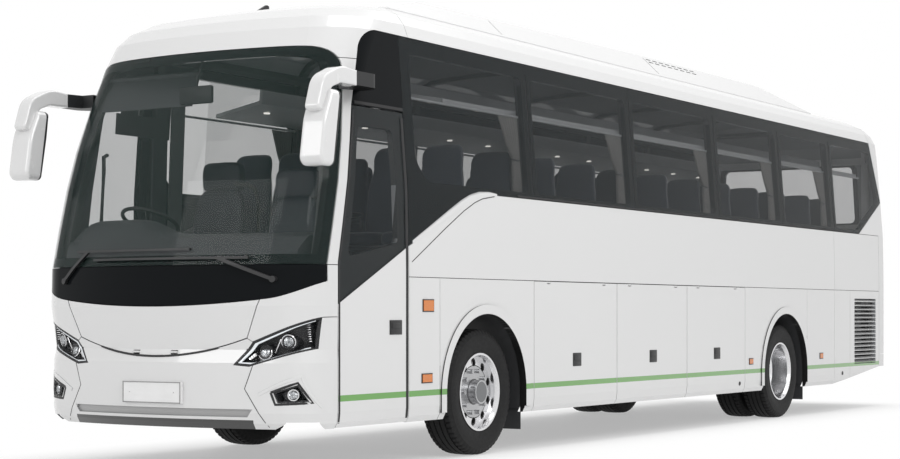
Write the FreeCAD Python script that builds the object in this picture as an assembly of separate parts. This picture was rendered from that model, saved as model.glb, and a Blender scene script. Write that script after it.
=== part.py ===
"""Coach bus: high-deck, right-hand drive, passenger door on the left ahead of the front wheel.

Millimetres. +X forward, +Y to the bus's left, +Z up. The origin is on the ground under the
middle of the body. Every node is written to parts/NODE.step.
"""
import FreeCAD
import Part
import os
from math import atan2, cos, degrees, hypot, pi, radians, sin, sqrt, tan

V = FreeCAD.Vector

# ---- driving dimensions ----------------------------------------------------------------------
NOSE = 6000.0             # front-most point of the body
TAIL = -6000.0            # rear-most point of the body
HALF = 1250.0             # half of the body's width
SILL = 310.0              # underside of the skirt
ROOF = 3400.0             # top of the roof at its middle
AXLE_FRONT = 3500.0
AXLE_REAR = -2700.0
WALL = 50.0               # side walls, roof, doors
GLASS = 6.0
BOND = 0.5                # adhesive between glass and the frame behind it
GAP = 5.0                 # seam between fixed panels
SWING_GAP = 10.0          # seam round a moving panel
SEAT_FIT = 0.3            # between a piece and what carries it
CLEAR = 6.0               # round moving pieces
TUBE = 40.0               # body frame's tubes, square

BELT = 1362.0             # seam over the luggage doors
BAND_LOW = 2018.0         # underside of the window band
SHOULDER = ROOF - 285.0   # above it the wall's thickness turns from sideways to upright
BAND_TOP = SHOULDER
FRONT_BOW = 3600.0        # radius of the front face, seen from above
REAR_BOW = 12000.0
CROWN = 10000.0           # radius of the roof across the bus

# seams down the left and right sides, from the front
DOOR_FRONT = 5505.0
DOOR_REAR = 4611.0
ARCH1_FRONT = 4188.0
BAY = (2753.0, 1261.0, -206.0, -1602.0)      # ends of the three luggage doors
ARCH2_REAR = -3316.0
FLAP_REAR = -4163.0
GRILLE_FRONT = -4667.0
REAR_SEAM = -5667.0
CAP_SEAM = 4475.0         # roof cap to roof
ROOF_REAR = -5570.0       # roof to rear shell
REAR_BUMPER_TOP = 620.0

MULLIONS = (2735.0, 865.0, -1000.0, -2670.0, -4206.0)
MULLION = 150.0           # width of a window pillar
PANE_LOW = 2066.0         # clear opening of the side windows
PANE_TOP = 2998.0

TYRE_R = 490.0
TYRE_W = 275.0
RIM_R = 302.0             # rim flange
RIM_W = 250.0
TWIN_PITCH = 312.0        # between the middles of twin tyres
WHEEL_OUT = 1200.0        # outer face of every outer tyre
ARCH_R = 605.0
ARCH_LIP = 72.0           # width of the raised arch lip
ARCH_PROUD = 10.0         # how far the lip stands out of the side
KINGPIN_Y = 900.0

DECK = 1290.0             # top of the passenger floor
PLATFORM = 950.0          # top of the driver's floor
FLOOR_T = 40.0
BAY_FLOOR = 420.0         # underside of the luggage bay's floor

# body sections: height, nose and tail set back, half width narrowed, front and rear corner radius
LOWER = (
    (SILL, 75, 70, 28, 330, 110),
    (350, 50, 25, 7, 340, 120),
    (420, 35, 5, 0, 350, 130),
    (760, 38, 0, 0, 350, 130),
    (850, 65, 0, 0, 350, 130),
    (1150, 10, 0, 0, 350, 130),
    (1430, 18, 0, 0, 350, 130),
)
UPPER = (
    (1430, 18, 0, 0, 350, 130),
    (1700, 80, 0, 3, 350, 130),
    (2018, 162, 0, 10, 350, 130),
    (2300, 245, 0, 33, 350, 130),
    (2620, 373, 0, 58, 360, 140),
    (2940, 516, 2, 84, 380, 150),
    (SHOULDER, 615, 15, 98, 400, 170),
    (ROOF - 190, 715, 60, 135, 430, 200),
    (ROOF - 110, 880, 160, 195, 470, 260),
    (ROOF - 55, 1090, 360, 285, 520, 330),
    (ROOF - 20, 1340, 610, 400, 560, 400),
    (ROOF + 30, 2000, 1100, 650, 560, 460),
)


# ---- helpers ---------------------------------------------------------------------------------
def box(x, y, z):
    """Box between pairs of limits."""
    return Part.makeBox(x[1] - x[0], y[1] - y[0], z[1] - z[0], V(x[0], y[0], z[0]))


def rod(start, end, radius):
    """Round bar between two points."""
    a, b = V(*start), V(*end)
    return Part.makeCylinder(radius, (b - a).Length, a, b - a)


def corner_arc(before, at, after, radius):
    """Tangent points and middle of the arc that rounds a corner of an outline."""
    into = (before[0] - at[0], before[1] - at[1])
    out = (after[0] - at[0], after[1] - at[1])
    in_len, out_len = hypot(*into), hypot(*out)
    u = (into[0] / in_len, into[1] / in_len)
    w = (out[0] / out_len, out[1] / out_len)
    half_turn = 0.5 * abs(atan2(u[0] * w[1] - u[1] * w[0], u[0] * w[0] + u[1] * w[1]))
    setback = radius / tan(half_turn)
    bisector = (u[0] + w[0], u[1] + w[1])
    length = hypot(*bisector)
    depth = radius / sin(half_turn) - radius
    start = (at[0] + u[0] * setback, at[1] + u[1] * setback)
    end = (at[0] + w[0] * setback, at[1] + w[1] * setback)
    mid = (at[0] + bisector[0] / length * depth, at[1] + bisector[1] / length * depth)
    return start, mid, end


PLANES = {
    "side": lambda u, v, at: V(u, at, v),      # X, Z
    "front": lambda u, v, at: V(at, u, v),     # Y, Z
    "plan": lambda u, v, at: V(u, v, at),      # X, Y
}


def face(corners, plane, at):
    """Flat face through corners (u, v), rounded (u, v, radius), or with the run that follows
    bent through a middle point (u, v, mid_u, mid_v)."""
    place = PLANES[plane]
    count = len(corners)
    runs = []
    for i, corner in enumerate(corners):
        if len(corner) == 3 and corner[2] > 0:
            runs.append(corner_arc(corners[i - 1], corner, corners[(i + 1) % count], corner[2]))
        else:
            runs.append((corner[:2],))
    edges = []
    for i, run in enumerate(runs):
        if len(run) == 3:
            points = [place(p[0], p[1], at) for p in run]
            edges.append(Part.Arc(*points).toShape())
        a = place(run[-1][0], run[-1][1], at)
        following = runs[(i + 1) % count][0]
        b = place(following[0], following[1], at)
        if len(corners[i]) == 4:
            edges.append(Part.Arc(a, place(corners[i][2], corners[i][3], at), b).toShape())
        elif (b - a).Length > 1e-6:
            edges.append(Part.makeLine(a, b))
    return Part.Face(Part.Wire(edges))


DIRECTIONS = {"side": V(0, 1, 0), "front": V(1, 0, 0), "plan": V(0, 0, 1)}


def prism(corners, plane, limits):
    """Outline extruded square to its plane between two limits."""
    return face(corners, plane, limits[0]).extrude(DIRECTIONS[plane] * (limits[1] - limits[0]))


def fuse(pieces):
    shape = pieces[0]
    if len(pieces) > 1:
        shape = shape.fuse(pieces[1:])
    return shape.removeSplitter()


def mirrored(shape):
    return shape.mirror(V(0, 0, 0), V(0, 1, 0))


def both(shape):
    """The shape and its twin on the bus's other side."""
    return [shape, mirrored(shape)]


os.makedirs("parts", exist_ok=True)


def write(node, pieces):
    """One STEP file per node, from its separate solids."""
    solids = []
    for piece in pieces:
        solids.extend(piece.Solids)
    shape = solids[0] if len(solids) == 1 else Part.makeCompound(solids)
    shape.exportStep("parts/" + node + ".step")


# ---- the body's surface ----------------------------------------------------------------------
def plan_wire(z, nose, tail, half, front_r, rear_r, front_bow, rear_bow):
    """Outline of the body seen from above: bowed ends, rounded corners, straight sides."""
    fx = nose - front_bow + sqrt((front_bow - front_r) ** 2 - (half - front_r) ** 2)
    rx = tail + rear_bow - sqrt((rear_bow - rear_r) ** 2 - (half - rear_r) ** 2)
    f_turn = atan2(half - front_r, fx - nose + front_bow)
    r_turn = atan2(half - rear_r, tail + rear_bow - rx)

    def front(turn, radius, cx, cy, side):
        return V(cx + radius * cos(turn), side * (cy + radius * sin(turn)), z)

    def rear(turn, radius, cx, cy, side):
        return V(cx - radius * cos(turn), side * (cy + radius * sin(turn)), z)

    f_mid = 0.5 * (f_turn + 0.5 * pi)
    r_mid = 0.5 * (r_turn + 0.5 * pi)
    fc, rc = half - front_r, half - rear_r
    nose_c, tail_c = nose - front_bow, tail + rear_bow
    edges = [
        Part.makeLine(V(rx, half, z), V(fx, half, z)),
        Part.Arc(V(fx, half, z), front(f_mid, front_r, fx, fc, 1),
                 front(f_turn, front_bow, nose_c, 0, 1)).toShape(),
        Part.Arc(front(f_turn, front_bow, nose_c, 0, 1), V(nose, 0, z),
                 front(f_turn, front_bow, nose_c, 0, -1)).toShape(),
        Part.Arc(front(f_turn, front_bow, nose_c, 0, -1), front(f_mid, front_r, fx, fc, -1),
                 V(fx, -half, z)).toShape(),
        Part.makeLine(V(fx, -half, z), V(rx, -half, z)),
        Part.Arc(V(rx, -half, z), rear(r_mid, rear_r, rx, rc, -1),
                 rear(r_turn, rear_bow, tail_c, 0, -1)).toShape(),
        Part.Arc(rear(r_turn, rear_bow, tail_c, 0, -1), V(tail, 0, z),
                 rear(r_turn, rear_bow, tail_c, 0, 1)).toShape(),
        Part.Arc(rear(r_turn, rear_bow, tail_c, 0, 1), rear(r_mid, rear_r, rx, rc, 1),
                 V(rx, half, z)).toShape(),
    ]
    return Part.Wire(edges)


def body(inset):
    """Solid inside the body's outer surface by inset."""
    def wire(section):
        z, nose, tail, narrowed, front_r, rear_r = section
        upright = min(1.0, max(0.0, (z - SHOULDER) / (ROOF - SHOULDER)))
        return plan_wire(z - inset * upright, NOSE - nose - inset, TAIL + tail + inset,
                         HALF - narrowed - inset, front_r - inset, rear_r - inset,
                         FRONT_BOW - inset, REAR_BOW - inset)

    lower = Part.makeLoft([wire(s) for s in LOWER], True, True)
    upper = Part.makeLoft([wire(s) for s in UPPER], True, True)
    crown = Part.makeCylinder(CROWN - inset, NOSE - TAIL + 2 * WALL,
                              V(TAIL - WALL, 0, ROOF - CROWN), V(1, 0, 0))
    return lower.fuse(upper.common(crown))


OUTER = body(0.0)
GLASS_IN = body(GLASS)
FRAME_OUT = body(GLASS + BOND)
INNER = body(WALL)
ROOM = body(WALL + SEAT_FIT)
LINING = body(WALL + TUBE + 2 * SEAT_FIT)
WALLS = OUTER.cut(ROOM)
OPEN_BOTTOM = box((TAIL + WALL * 3, NOSE - WALL * 4), (WALL - HALF, HALF - WALL), (0, SILL + WALL))
SHELL = OUTER.cut(INNER).cut(OPEN_BOTTOM)
GLAZING = OUTER.cut(GLASS_IN)
FRAMING = FRAME_OUT.cut(INNER)


# ---- regions of the body, seen from the side -------------------------------------------------
DOOR_TOP = 2552.0
DOOR_LEAN_Z = 1450.0              # above it the door's front edge follows the windscreen post
DOOR_TOP_FRONT = 5258.0
POST_TOP = (5150.0, 2860.0)       # where the band's front edge turns over into its top
BAND_FRONT_R = 240.0
BAND_RAMP = ((DOOR_REAR, 1586.0), (3740.0, 1940.0), (3408.0, BAND_LOW))
BAND_TAIL = ((-4993.0, BAND_LOW), (-5835.0, 2420.0), (-5570.0, BAND_TOP))
DOOR_BLACK = ((DOOR_FRONT, 1160.0), (DOOR_REAR, 1586.0))    # diagonal colour edge on the door
SCREEN_LOW = 1430.0
SCREEN_TOP = 2975.0
SCREEN_EDGE = ((5608.0, SCREEN_LOW), (5246.0, 2900.0))      # side edge of the windscreen

LEFT = (0.0, 2 * HALF)
RIGHT = (-2 * HALF, 0.0)
ACROSS = (-2 * HALF, 2 * HALF)


def offset(corners, distance):
    """Outline moved outwards (or, with a negative distance, inwards) by the distance."""
    points = [c[:2] for c in corners]
    count = len(points)
    area = sum(points[i][0] * points[(i + 1) % count][1] - points[(i + 1) % count][0] * points[i][1]
               for i in range(count))
    turn = 1.0 if area > 0 else -1.0
    moved = []
    for i in range(count):
        before, at, after = points[i - 1], points[i], points[(i + 1) % count]
        a = (at[0] - before[0], at[1] - before[1])
        b = (after[0] - at[0], after[1] - at[1])
        la, lb = hypot(*a), hypot(*b)
        na = (turn * a[1] / la, -turn * a[0] / la)
        nb = (turn * b[1] / lb, -turn * b[0] / lb)
        k = distance / (1.0 + na[0] * nb[0] + na[1] * nb[1])
        corner = (at[0] + k * (na[0] + nb[0]), at[1] + k * (na[1] + nb[1]))
        if len(corners[i]) == 3:
            corner += (max(1.0, corners[i][2] + distance * cross_sign(a, b, turn)),)
        elif len(corners[i]) == 4:
            corner += (corners[i][2] + distance * nb[0], corners[i][3] + distance * nb[1])
        moved.append(corner)
    return moved


def cross_sign(a, b, turn):
    """1 at an outward corner of the outline, -1 at an inward one."""
    return 1.0 if turn * (a[0] * b[1] - a[1] * b[0]) > 0 else -1.0


def post_x(z):
    """The door's front edge, which is also the rear edge of the windscreen post."""
    if z <= DOOR_LEAN_Z:
        return DOOR_FRONT
    if z <= DOOR_TOP:
        return DOOR_FRONT + (DOOR_TOP_FRONT - DOOR_FRONT) * (z - DOOR_LEAN_Z) / (DOOR_TOP - DOOR_LEAN_Z)
    return DOOR_TOP_FRONT + (POST_TOP[0] - DOOR_TOP_FRONT) * (z - DOOR_TOP) / (POST_TOP[1] - DOOR_TOP)


DOOR_OUTLINE = [(DOOR_REAR, SILL), (DOOR_FRONT, SILL), (DOOR_FRONT, DOOR_LEAN_Z),
                (DOOR_TOP_FRONT, DOOR_TOP), (DOOR_REAR, DOOR_TOP)]
HEADER_OUTLINE = [(DOOR_REAR, DOOR_TOP), (DOOR_TOP_FRONT, DOOR_TOP), POST_TOP,
                  (post_x(BAND_TOP), BAND_TOP, BAND_FRONT_R), (DOOR_REAR, BAND_TOP)]
BAND_OUTLINE = [BAND_TAIL[0], (BAND_TAIL[1][0], BAND_TAIL[1][1], 60.0), (BAND_TAIL[2][0], BAND_TOP, 60.0),
                (DOOR_REAR, BAND_TOP), BAND_RAMP[0], (BAND_RAMP[1][0], BAND_RAMP[1][1], 500.0),
                (BAND_RAMP[2][0], BAND_LOW, 250.0)]
DRIVER_OUTLINE = [(DOOR_REAR, BAND_TOP), (post_x(BAND_TOP), BAND_TOP, BAND_FRONT_R), POST_TOP,
                  (DOOR_TOP_FRONT, DOOR_TOP), (DOOR_FRONT, DOOR_LEAN_Z), DOOR_BLACK[0], BAND_RAMP[0]]

DOOR_WINDOW = [(4750.0, 1602.0, 40.0), (5379.0, 1486.0, 40.0), (5200.0, 2412.0, 40.0), (4765.0, 2412.0, 40.0)]

# front of the bus, seen from ahead: Y, Z of the bus's left half
FLAP_TOP = (870.0, 1195.0)
FLAP_TOP_MID = (0.0, 1150.0)
FLAP_LOW = (752.0, 928.0)
FLAP_LOW_MID = (0.0, 804.0)
PANEL_BEND = (1120.0, 1255.0)     # the black panel's lower edge sweeps up round the corner
PANEL_END = (1300.0, 1370.0)
LAMP_BEND = (790.0, 905.0)
LAMP_TOP = (1218.0, 1072.0)
LAMP_LOW = (1192.0, 858.0)
LAMP_IN = (775.0, 735.0)
LAMP_TIP = (655.0, 745.0)
LAMP_SEAM = (1400.0, 1085.0)      # bumper to corner piece, behind the lamp
FOG_LAMP = [(945.0, 560.0), (1105.0, 615.0), (1165.0, 500.0), (975.0, 490.0)]
LIP = [(-760.0, 392.0, 15.0), (760.0, 392.0, 15.0), (800.0, 446.0, 15.0), (-800.0, 446.0, 15.0)]
LIP_DEPTH = 14.0                  # recess along the bumper's foot
LAMP_GAP = 0.8
LAMP_DEPTH = 80.0
LAMP_WALL = 10.0
LAMP_X = (5585.0, NOSE + 500.0)   # how far back the lamps' recesses reach
PROJECTORS = ((868.0, 838.0), (1035.0, 900.0))
PROJECTOR_R = 46.0

FAR = 500.0                       # how far a cutter runs past the body


def region(corners, side, gap=GAP):
    """Cutter for a panel: the outline drawn in by half a seam, on one side or across."""
    return prism(offset(corners, -0.5 * gap), "side", side)


def rect(x0, x1, z0, z1):
    return [(x0, z0), (x1, z0), (x1, z1), (x0, z1)]


def side_panel(corners, side, gap=GAP):
    return SHELL.common(region(corners, side, gap))


HINGE_L = 60.0
HINGE_IN = 6.0            # pin's middle behind the outer face
HINGE_DOWN = 6.0          # and from the door's hinged edge
HINGE_PIN_R = 4.0
HINGE_EYE_R = 7.5
HINGE_PLAY = 0.08
HINGE_SIDE = 3.0          # eye to the sides of its notch
NOTCH_DEPTH = 13.0


def pin_hinge(reach, rise):
    """Notch, pin and eye of a door that hangs below its hinge. The pin lies along X at the
    origin and the outside is +Y; the eye's arm reaches inwards, then rises to the body frame."""
    half = 0.5 * HINGE_L
    eye_x = (HINGE_SIDE - half, half - HINGE_SIDE)
    notch = box((-half, half), (-2 * WALL, WALL), (-NOTCH_DEPTH, 2 * WALL))
    pin = rod((-half - 12.0, 0, 0), (half + 12.0, 0, 0), HINGE_PIN_R)
    eye = fuse([rod((eye_x[0], 0, 0), (eye_x[1], 0, 0), HINGE_EYE_R),
                box(eye_x, (-reach, 0), (-5.0, 5.0)),
                box(eye_x, (-reach, 12.0 - reach), (-5.0, rise))])
    bore = rod((-half, 0, 0), (half, 0, 0), HINGE_PIN_R + HINGE_PLAY)
    return notch, pin, eye.cut(bore)


def placed(shape, turn, at, upside_down=False):
    """The shape turned about Z, then moved; upside down for a door that stands on its hinge."""
    copy = shape.mirror(V(0, 0, 0), V(0, 0, 1)) if upside_down else shape.copy()
    copy.rotate(V(0, 0, 0), V(0, 0, 1), turn)
    copy.translate(V(*at))
    return copy


def hung(door, hinge, places, turn, upside_down=False):
    """The door with its notches and pins, and the eyes that carry it."""
    notch, pin, eye = hinge
    eyes = []
    for at in places:
        door = door.cut(placed(notch, turn, at, upside_down)).fuse(placed(pin, turn, at, upside_down))
        eyes.append(placed(eye, turn, at, upside_down))
    return door, eyes


# ---- roof, front shell -----------------------------------------------------------------------
def flip(corner):
    """The corner on the bus's other side, in a front view."""
    return (-corner[0],) + tuple(corner[1:])


def front_cut(corners, gap=GAP, x=(DOOR_FRONT - FAR, NOSE + FAR)):
    return prism(offset(corners, -0.5 * gap), "front", x)


def box_over(z0, z1, x0=TAIL - FAR, x1=NOSE + FAR):
    """Slab between two heights."""
    return box((x0, x1), ACROSS, (z0, z1))


roof = SHELL.common(region(rect(ROOF_REAR, CAP_SEAM, BAND_TOP, ROOF + FAR), ACROSS))
write("roof_shell", [roof])

front_outline = [(CAP_SEAM, BAND_TOP), (post_x(BAND_TOP), BAND_TOP, BAND_FRONT_R), POST_TOP,
                 (DOOR_TOP_FRONT, DOOR_TOP), (DOOR_FRONT, DOOR_LEAN_Z), (DOOR_FRONT, SILL - WALL),
                 (NOSE + FAR, SILL - WALL), (NOSE + FAR, ROOF + FAR), (CAP_SEAM, ROOF + FAR)]
front_all = SHELL.common(region(front_outline, ACROSS))

SCREEN_R = 130.0
screen_outline = [(SCREEN_EDGE[0][0], SCREEN_LOW), (NOSE + FAR, SCREEN_LOW), (NOSE + FAR, SCREEN_TOP),
                  (5227.0, SCREEN_TOP, SCREEN_R)]
screen_hole = prism(offset(screen_outline, 0.5 * GAP), "side", ACROSS)
SCREEN_FLANGE = 70.0              # black border behind the windscreen's edge
POST_SEAM = 2885.0                # roof cap to windscreen post

cap = front_all.common(box_over(POST_SEAM + 0.5 * GAP, ROOF + FAR)).cut(screen_hole)
posts = front_all.common(box_over(SCREEN_LOW + 0.5 * GAP, POST_SEAM - 0.5 * GAP)).cut(screen_hole)

panel_outline = [FLAP_TOP + PANEL_BEND, PANEL_END, (PANEL_END[0], SCREEN_LOW), (-PANEL_END[0], SCREEN_LOW),
                 flip(PANEL_END) + flip(PANEL_BEND), flip(FLAP_TOP) + FLAP_TOP_MID]
panel_front = box((SCREEN_EDGE[0][0] + 0.5 * GAP, NOSE + FAR), ACROSS, (SILL, ROOF))
panel = SHELL.common(front_cut(panel_outline)).common(panel_front)

corner_outline = [FLAP_TOP, FLAP_LOW, LAMP_BEND, LAMP_TOP, LAMP_SEAM, (LAMP_SEAM[0], SCREEN_LOW),
                  (FLAP_TOP[0], SCREEN_LOW)]
panel_room = front_cut(panel_outline, -GAP).common(
    box((SCREEN_EDGE[0][0] - 0.5 * GAP, NOSE + FAR), ACROSS, (SILL, ROOF)))
corner = front_all.common(front_cut(corner_outline)).cut(panel_room)
write("front_shell", [cap, posts, corner, mirrored(corner)])

screen_region = prism(offset(screen_outline, -0.5 * GAP), "side", ACROSS)
screen_opening = prism(offset(screen_outline, -SCREEN_FLANGE), "side", ACROSS)
write("windscreen", [GLAZING.common(screen_region)])
write("windscreen_frame", [FRAMING.common(screen_region).cut(screen_opening), panel])

flap_outline = [FLAP_TOP + FLAP_TOP_MID, flip(FLAP_TOP), flip(FLAP_LOW) + FLAP_LOW_MID, FLAP_LOW]
FLAP_PIN = (5936.0, 170.0, 830.0)
FLAP_REACH = 90.0
flap_places = [(FLAP_PIN[0], s * FLAP_PIN[1], FLAP_PIN[2]) for s in (-1, 1)]
flap, frame_eyes = hung(SHELL.common(front_cut(flap_outline, SWING_GAP)), pin_hinge(FLAP_REACH, 60.0),
                        flap_places, -90.0, True)
write("front_flap", [flap])

lamp_outline = [LAMP_TIP, LAMP_BEND, LAMP_TOP, LAMP_LOW, LAMP_IN]
bumper_side = [LAMP_BEND, LAMP_TOP, LAMP_SEAM, (LAMP_SEAM[0], SILL - WALL)]
bumper_outline = [FLAP_LOW] + bumper_side + [flip(c) for c in reversed(bumper_side)]
bumper_outline.append(flip(FLAP_LOW) + FLAP_LOW_MID)
bumper = front_all.common(front_cut(bumper_outline))
for outline in (lamp_outline, FOG_LAMP):
    for hole in both(front_cut(outline, 0.0, LAMP_X)):
        bumper = bumper.cut(hole)
lip = front_cut(LIP, 0.0, LAMP_X)
bumper = bumper.cut(OUTER.cut(body(LIP_DEPTH)).common(lip))
write("front_bumper", [bumper])

LAMP_BACK = body(LAMP_DEPTH + LAMP_WALL)
LAMP_FLOOR = body(LAMP_DEPTH)
LAMP_RIM = body(4 * GLASS)
lenses = []
lamp_bowls = []
for outline in (lamp_outline, FOG_LAMP):
    lenses += both(GLAZING.common(front_cut(outline, 2 * LAMP_GAP)))
    bowl = FRAME_OUT.cut(LAMP_FLOOR).common(front_cut(offset(outline, -LAMP_WALL), 0.0, LAMP_X))
    lamp_bowl = FRAME_OUT.cut(LAMP_BACK).common(front_cut(outline, 2 * LAMP_GAP, LAMP_X)).cut(bowl)
    lamp_bowls.append(lamp_bowl)
projector_zone = LAMP_RIM.cut(LAMP_FLOOR)
for y, z in PROJECTORS:
    projector = projector_zone.common(rod((DOOR_FRONT, y, z), (NOSE, y, z), PROJECTOR_R))
    lamp_bowls[0] = lamp_bowls[0].fuse(projector)
fog_y = sum(c[0] for c in FOG_LAMP) / len(FOG_LAMP)
fog_z = sum(c[1] for c in FOG_LAMP) / len(FOG_LAMP)
fog = projector_zone.common(rod((DOOR_FRONT, fog_y, fog_z), (NOSE, fog_y, fog_z), PROJECTOR_R * 0.8))
lamp_bowls[1] = lamp_bowls[1].fuse(fog)
write("lamp_lenses", lenses)
write("front_lamps", both(lamp_bowls[0]) + both(lamp_bowls[1]))

# ---- sides -----------------------------------------------------------------------------------
# the underside rises behind the rear wheels
TUCK = [(FLAP_REAR, SILL), (REAR_SEAM, 475.0), (TAIL - FAR, 480.0), (TAIL - FAR, 0.0), (FLAP_REAR, 0.0)]
tuck = prism(TUCK, "side", ACROSS)


def arch_cut(axle, radius, side):
    """Round wheel opening with straight legs down to the skirt."""
    y = (HALF - 4 * WALL, HALF + FAR) if side > 0 else (-HALF - FAR, 4 * WALL - HALF)
    hole = rod((axle, y[0], TYRE_R), (axle, y[1], TYRE_R), radius)
    return hole.fuse(box((axle - radius, axle + radius), y, (0, TYRE_R)))


def arch_panel(x0, x1, axle):
    """Left panel with its wheel opening and raised lip."""
    skin = side_panel(rect(x0, x1, SILL - WALL, BELT), LEFT).cut(arch_cut(axle, ARCH_R, 1))
    ring = arch_cut(axle, ARCH_R + ARCH_LIP, 1).cut(arch_cut(axle, ARCH_R, 1))
    lip = ring.common(box((x0 + GAP, x1 - GAP), (HALF - WALL, HALF + ARCH_PROUD), (SILL + WALL, BELT)))
    return fuse([skin, lip])


front_arch = arch_panel(BAY[0], ARCH1_FRONT, AXLE_FRONT)
rear_arch = arch_panel(ARCH2_REAR, BAY[3], AXLE_REAR)
write("arch_panels", both(front_arch) + both(rear_arch))

waist = [(FLAP_REAR, BELT), (DOOR_REAR, BELT), BAND_RAMP[0], (BAND_RAMP[1][0], BAND_RAMP[1][1], 500.0),
         (BAND_RAMP[2][0], BAND_LOW, 250.0), (FLAP_REAR, BAND_LOW)]
side_parts = []
for side in (LEFT, RIGHT):
    side_parts.append(side_panel(waist, side))
    side_parts.append(side_panel(rect(REAR_SEAM, FLAP_REAR, BELT, BAND_LOW), side))
    side_parts.append(side_panel(rect(ARCH1_FRONT, DOOR_REAR, SILL - WALL, BELT), side))
    side_parts.append(side_panel(rect(FLAP_REAR, ARCH2_REAR, SILL - WALL, BELT), side))
    side_parts.append(side_panel(rect(GRILLE_FRONT, FLAP_REAR, SILL - WALL, BELT), side).cut(tuck))
driver_side = [(DOOR_REAR, SILL - WALL), (DOOR_FRONT, SILL - WALL), DOOR_BLACK[0], DOOR_BLACK[1]]
side_parts.append(side_panel(driver_side, RIGHT))

# louvred air intake beside the engine
GRILLE_X = (-5545.0, -4815.0)
GRILLE_Z = (520.0, 1270.0)
SLATS = 16
SLAT_T = 6.0
SLAT_FALL = 20.0
SLAT_DEPTH = 32.0
grille = side_panel(rect(REAR_SEAM, GRILLE_FRONT, SILL - WALL, BELT), LEFT).cut(tuck)
grille = grille.cut(box(GRILLE_X, (HALF - 2 * WALL, HALF + WALL), GRILLE_Z))
pitch = (GRILLE_Z[1] - GRILLE_Z[0]) / SLATS
for i in range(SLATS):
    z = GRILLE_Z[0] + (i + 0.75) * pitch
    slat = prism([(HALF - SLAT_DEPTH, z), (HALF, z - SLAT_FALL), (HALF, z - SLAT_FALL - SLAT_T),
                  (HALF - SLAT_DEPTH, z - SLAT_T)], "front", GRILLE_X)
    grille = grille.fuse(slat)
side_parts += both(grille.removeSplitter())
write("side_panels", side_parts)

# ---- window bands and glass ------------------------------------------------------------------


def window(x0, x1):
    return [(x0, PANE_LOW, 60.0), (x1, PANE_LOW, 60.0), (x1, PANE_TOP, 60.0), (x0, PANE_TOP, 60.0)]


first = [(MULLIONS[0] + 0.5 * MULLION, PANE_LOW, 60.0), (4330.0, PANE_LOW, 120.0),
         (4476.0, 2220.0, 150.0), (4476.0, PANE_TOP, 60.0), (MULLIONS[0] + 0.5 * MULLION, PANE_TOP, 60.0)]
last = [(-5010.0, PANE_LOW, 40.0), (MULLIONS[4] - 0.5 * MULLION, PANE_LOW, 60.0),
        (MULLIONS[4] - 0.5 * MULLION, PANE_TOP, 60.0), (-5560.0, PANE_TOP, 60.0),
        (-5745.0, 2420.0, 60.0)]
openings = [first, last]
for x1, x0 in zip(MULLIONS, MULLIONS[1:]):
    openings.append(window(x0 + 0.5 * MULLION, x1 - 0.5 * MULLION))
driver_window = [(4750.0, 1650.0, 60.0), (5340.0, 1500.0, 60.0), (5160.0, 2900.0, 100.0),
                 (4750.0, 2900.0, 60.0)]
bands = []
panes = []
for side in (LEFT, RIGHT):
    band = FRAMING.common(region(BAND_OUTLINE, side))
    for opening in openings:
        band = band.cut(prism(opening, "side", side))
    bands.append(band)
    glass = GLAZING.common(region(BAND_OUTLINE, side))
    for x in MULLIONS:
        glass = glass.cut(box((x - 0.5 * GAP, x + 0.5 * GAP), side, (BELT, ROOF)))
    panes.append(glass)
header = SHELL.common(region(HEADER_OUTLINE, LEFT))
driver_frame = FRAMING.common(region(DRIVER_OUTLINE, RIGHT)).cut(prism(driver_window, "side", RIGHT))
bands += [header, driver_frame]
panes.append(GLAZING.common(region(DRIVER_OUTLINE, RIGHT)))

# ---- rear ------------------------------------------------------------------------------------
REAR_WINDOW = [(-930.0, 2130.0, 120.0), (930.0, 2130.0, 120.0), (880.0, 2930.0, 120.0),
               (-880.0, 2930.0, 120.0)]
ENGINE_DOOR = [(-800.0, 700.0, 60.0), (800.0, 700.0, 60.0), (800.0, 1320.0, 60.0),
               (-800.0, 1320.0, 60.0)]
ENGINE_GAP = 12.0
ENGINE_PIN = (-5987.0, 400.0, 1306.0)
TAIL_LAMP = (975.0, 1590.0)       # bottom and top of the upright tail lamps
TAIL_LAMP_Y = (1130.0, 1205.0)
AMBER_LAMP_Z = (630.0, 690.0)
rear_x = (TAIL - FAR, TAIL + FAR)
rear_outline = [(REAR_SEAM, REAR_BUMPER_TOP), (REAR_SEAM, BAND_LOW), BAND_TAIL[0], BAND_TAIL[1],
                (ROOF_REAR, BAND_TOP), (ROOF_REAR, ROOF + FAR), (TAIL - FAR, ROOF + FAR),
                (TAIL - FAR, REAR_BUMPER_TOP)]
rear = SHELL.common(region(rear_outline, ACROSS))
rear = rear.cut(prism(offset(REAR_WINDOW, 0.5 * GAP), "front", rear_x))
rear = rear.cut(prism(offset(ENGINE_DOOR, 0.5 * ENGINE_GAP), "front", rear_x))
for z in (TAIL_LAMP, AMBER_LAMP_Z):
    for hole in both(box(rear_x, TAIL_LAMP_Y, z)):
        rear = rear.cut(hole)
bumper_rear = SHELL.common(region(rect(TAIL - FAR, REAR_SEAM, SILL - WALL, REAR_BUMPER_TOP), ACROSS))
bumper_rear = bumper_rear.cut(tuck)
write("rear_shell", [rear, bumper_rear])

window_frame = FRAMING.common(prism(offset(REAR_WINDOW, -0.5 * GAP), "front", rear_x))
window_frame = window_frame.cut(prism(offset(REAR_WINDOW, -60.0), "front", rear_x))
bands.append(window_frame)
panes.append(GLAZING.common(prism(offset(REAR_WINDOW, -0.5 * GAP), "front", rear_x)))
write("window_band", bands)
write("cabin_glass", panes)

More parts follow.
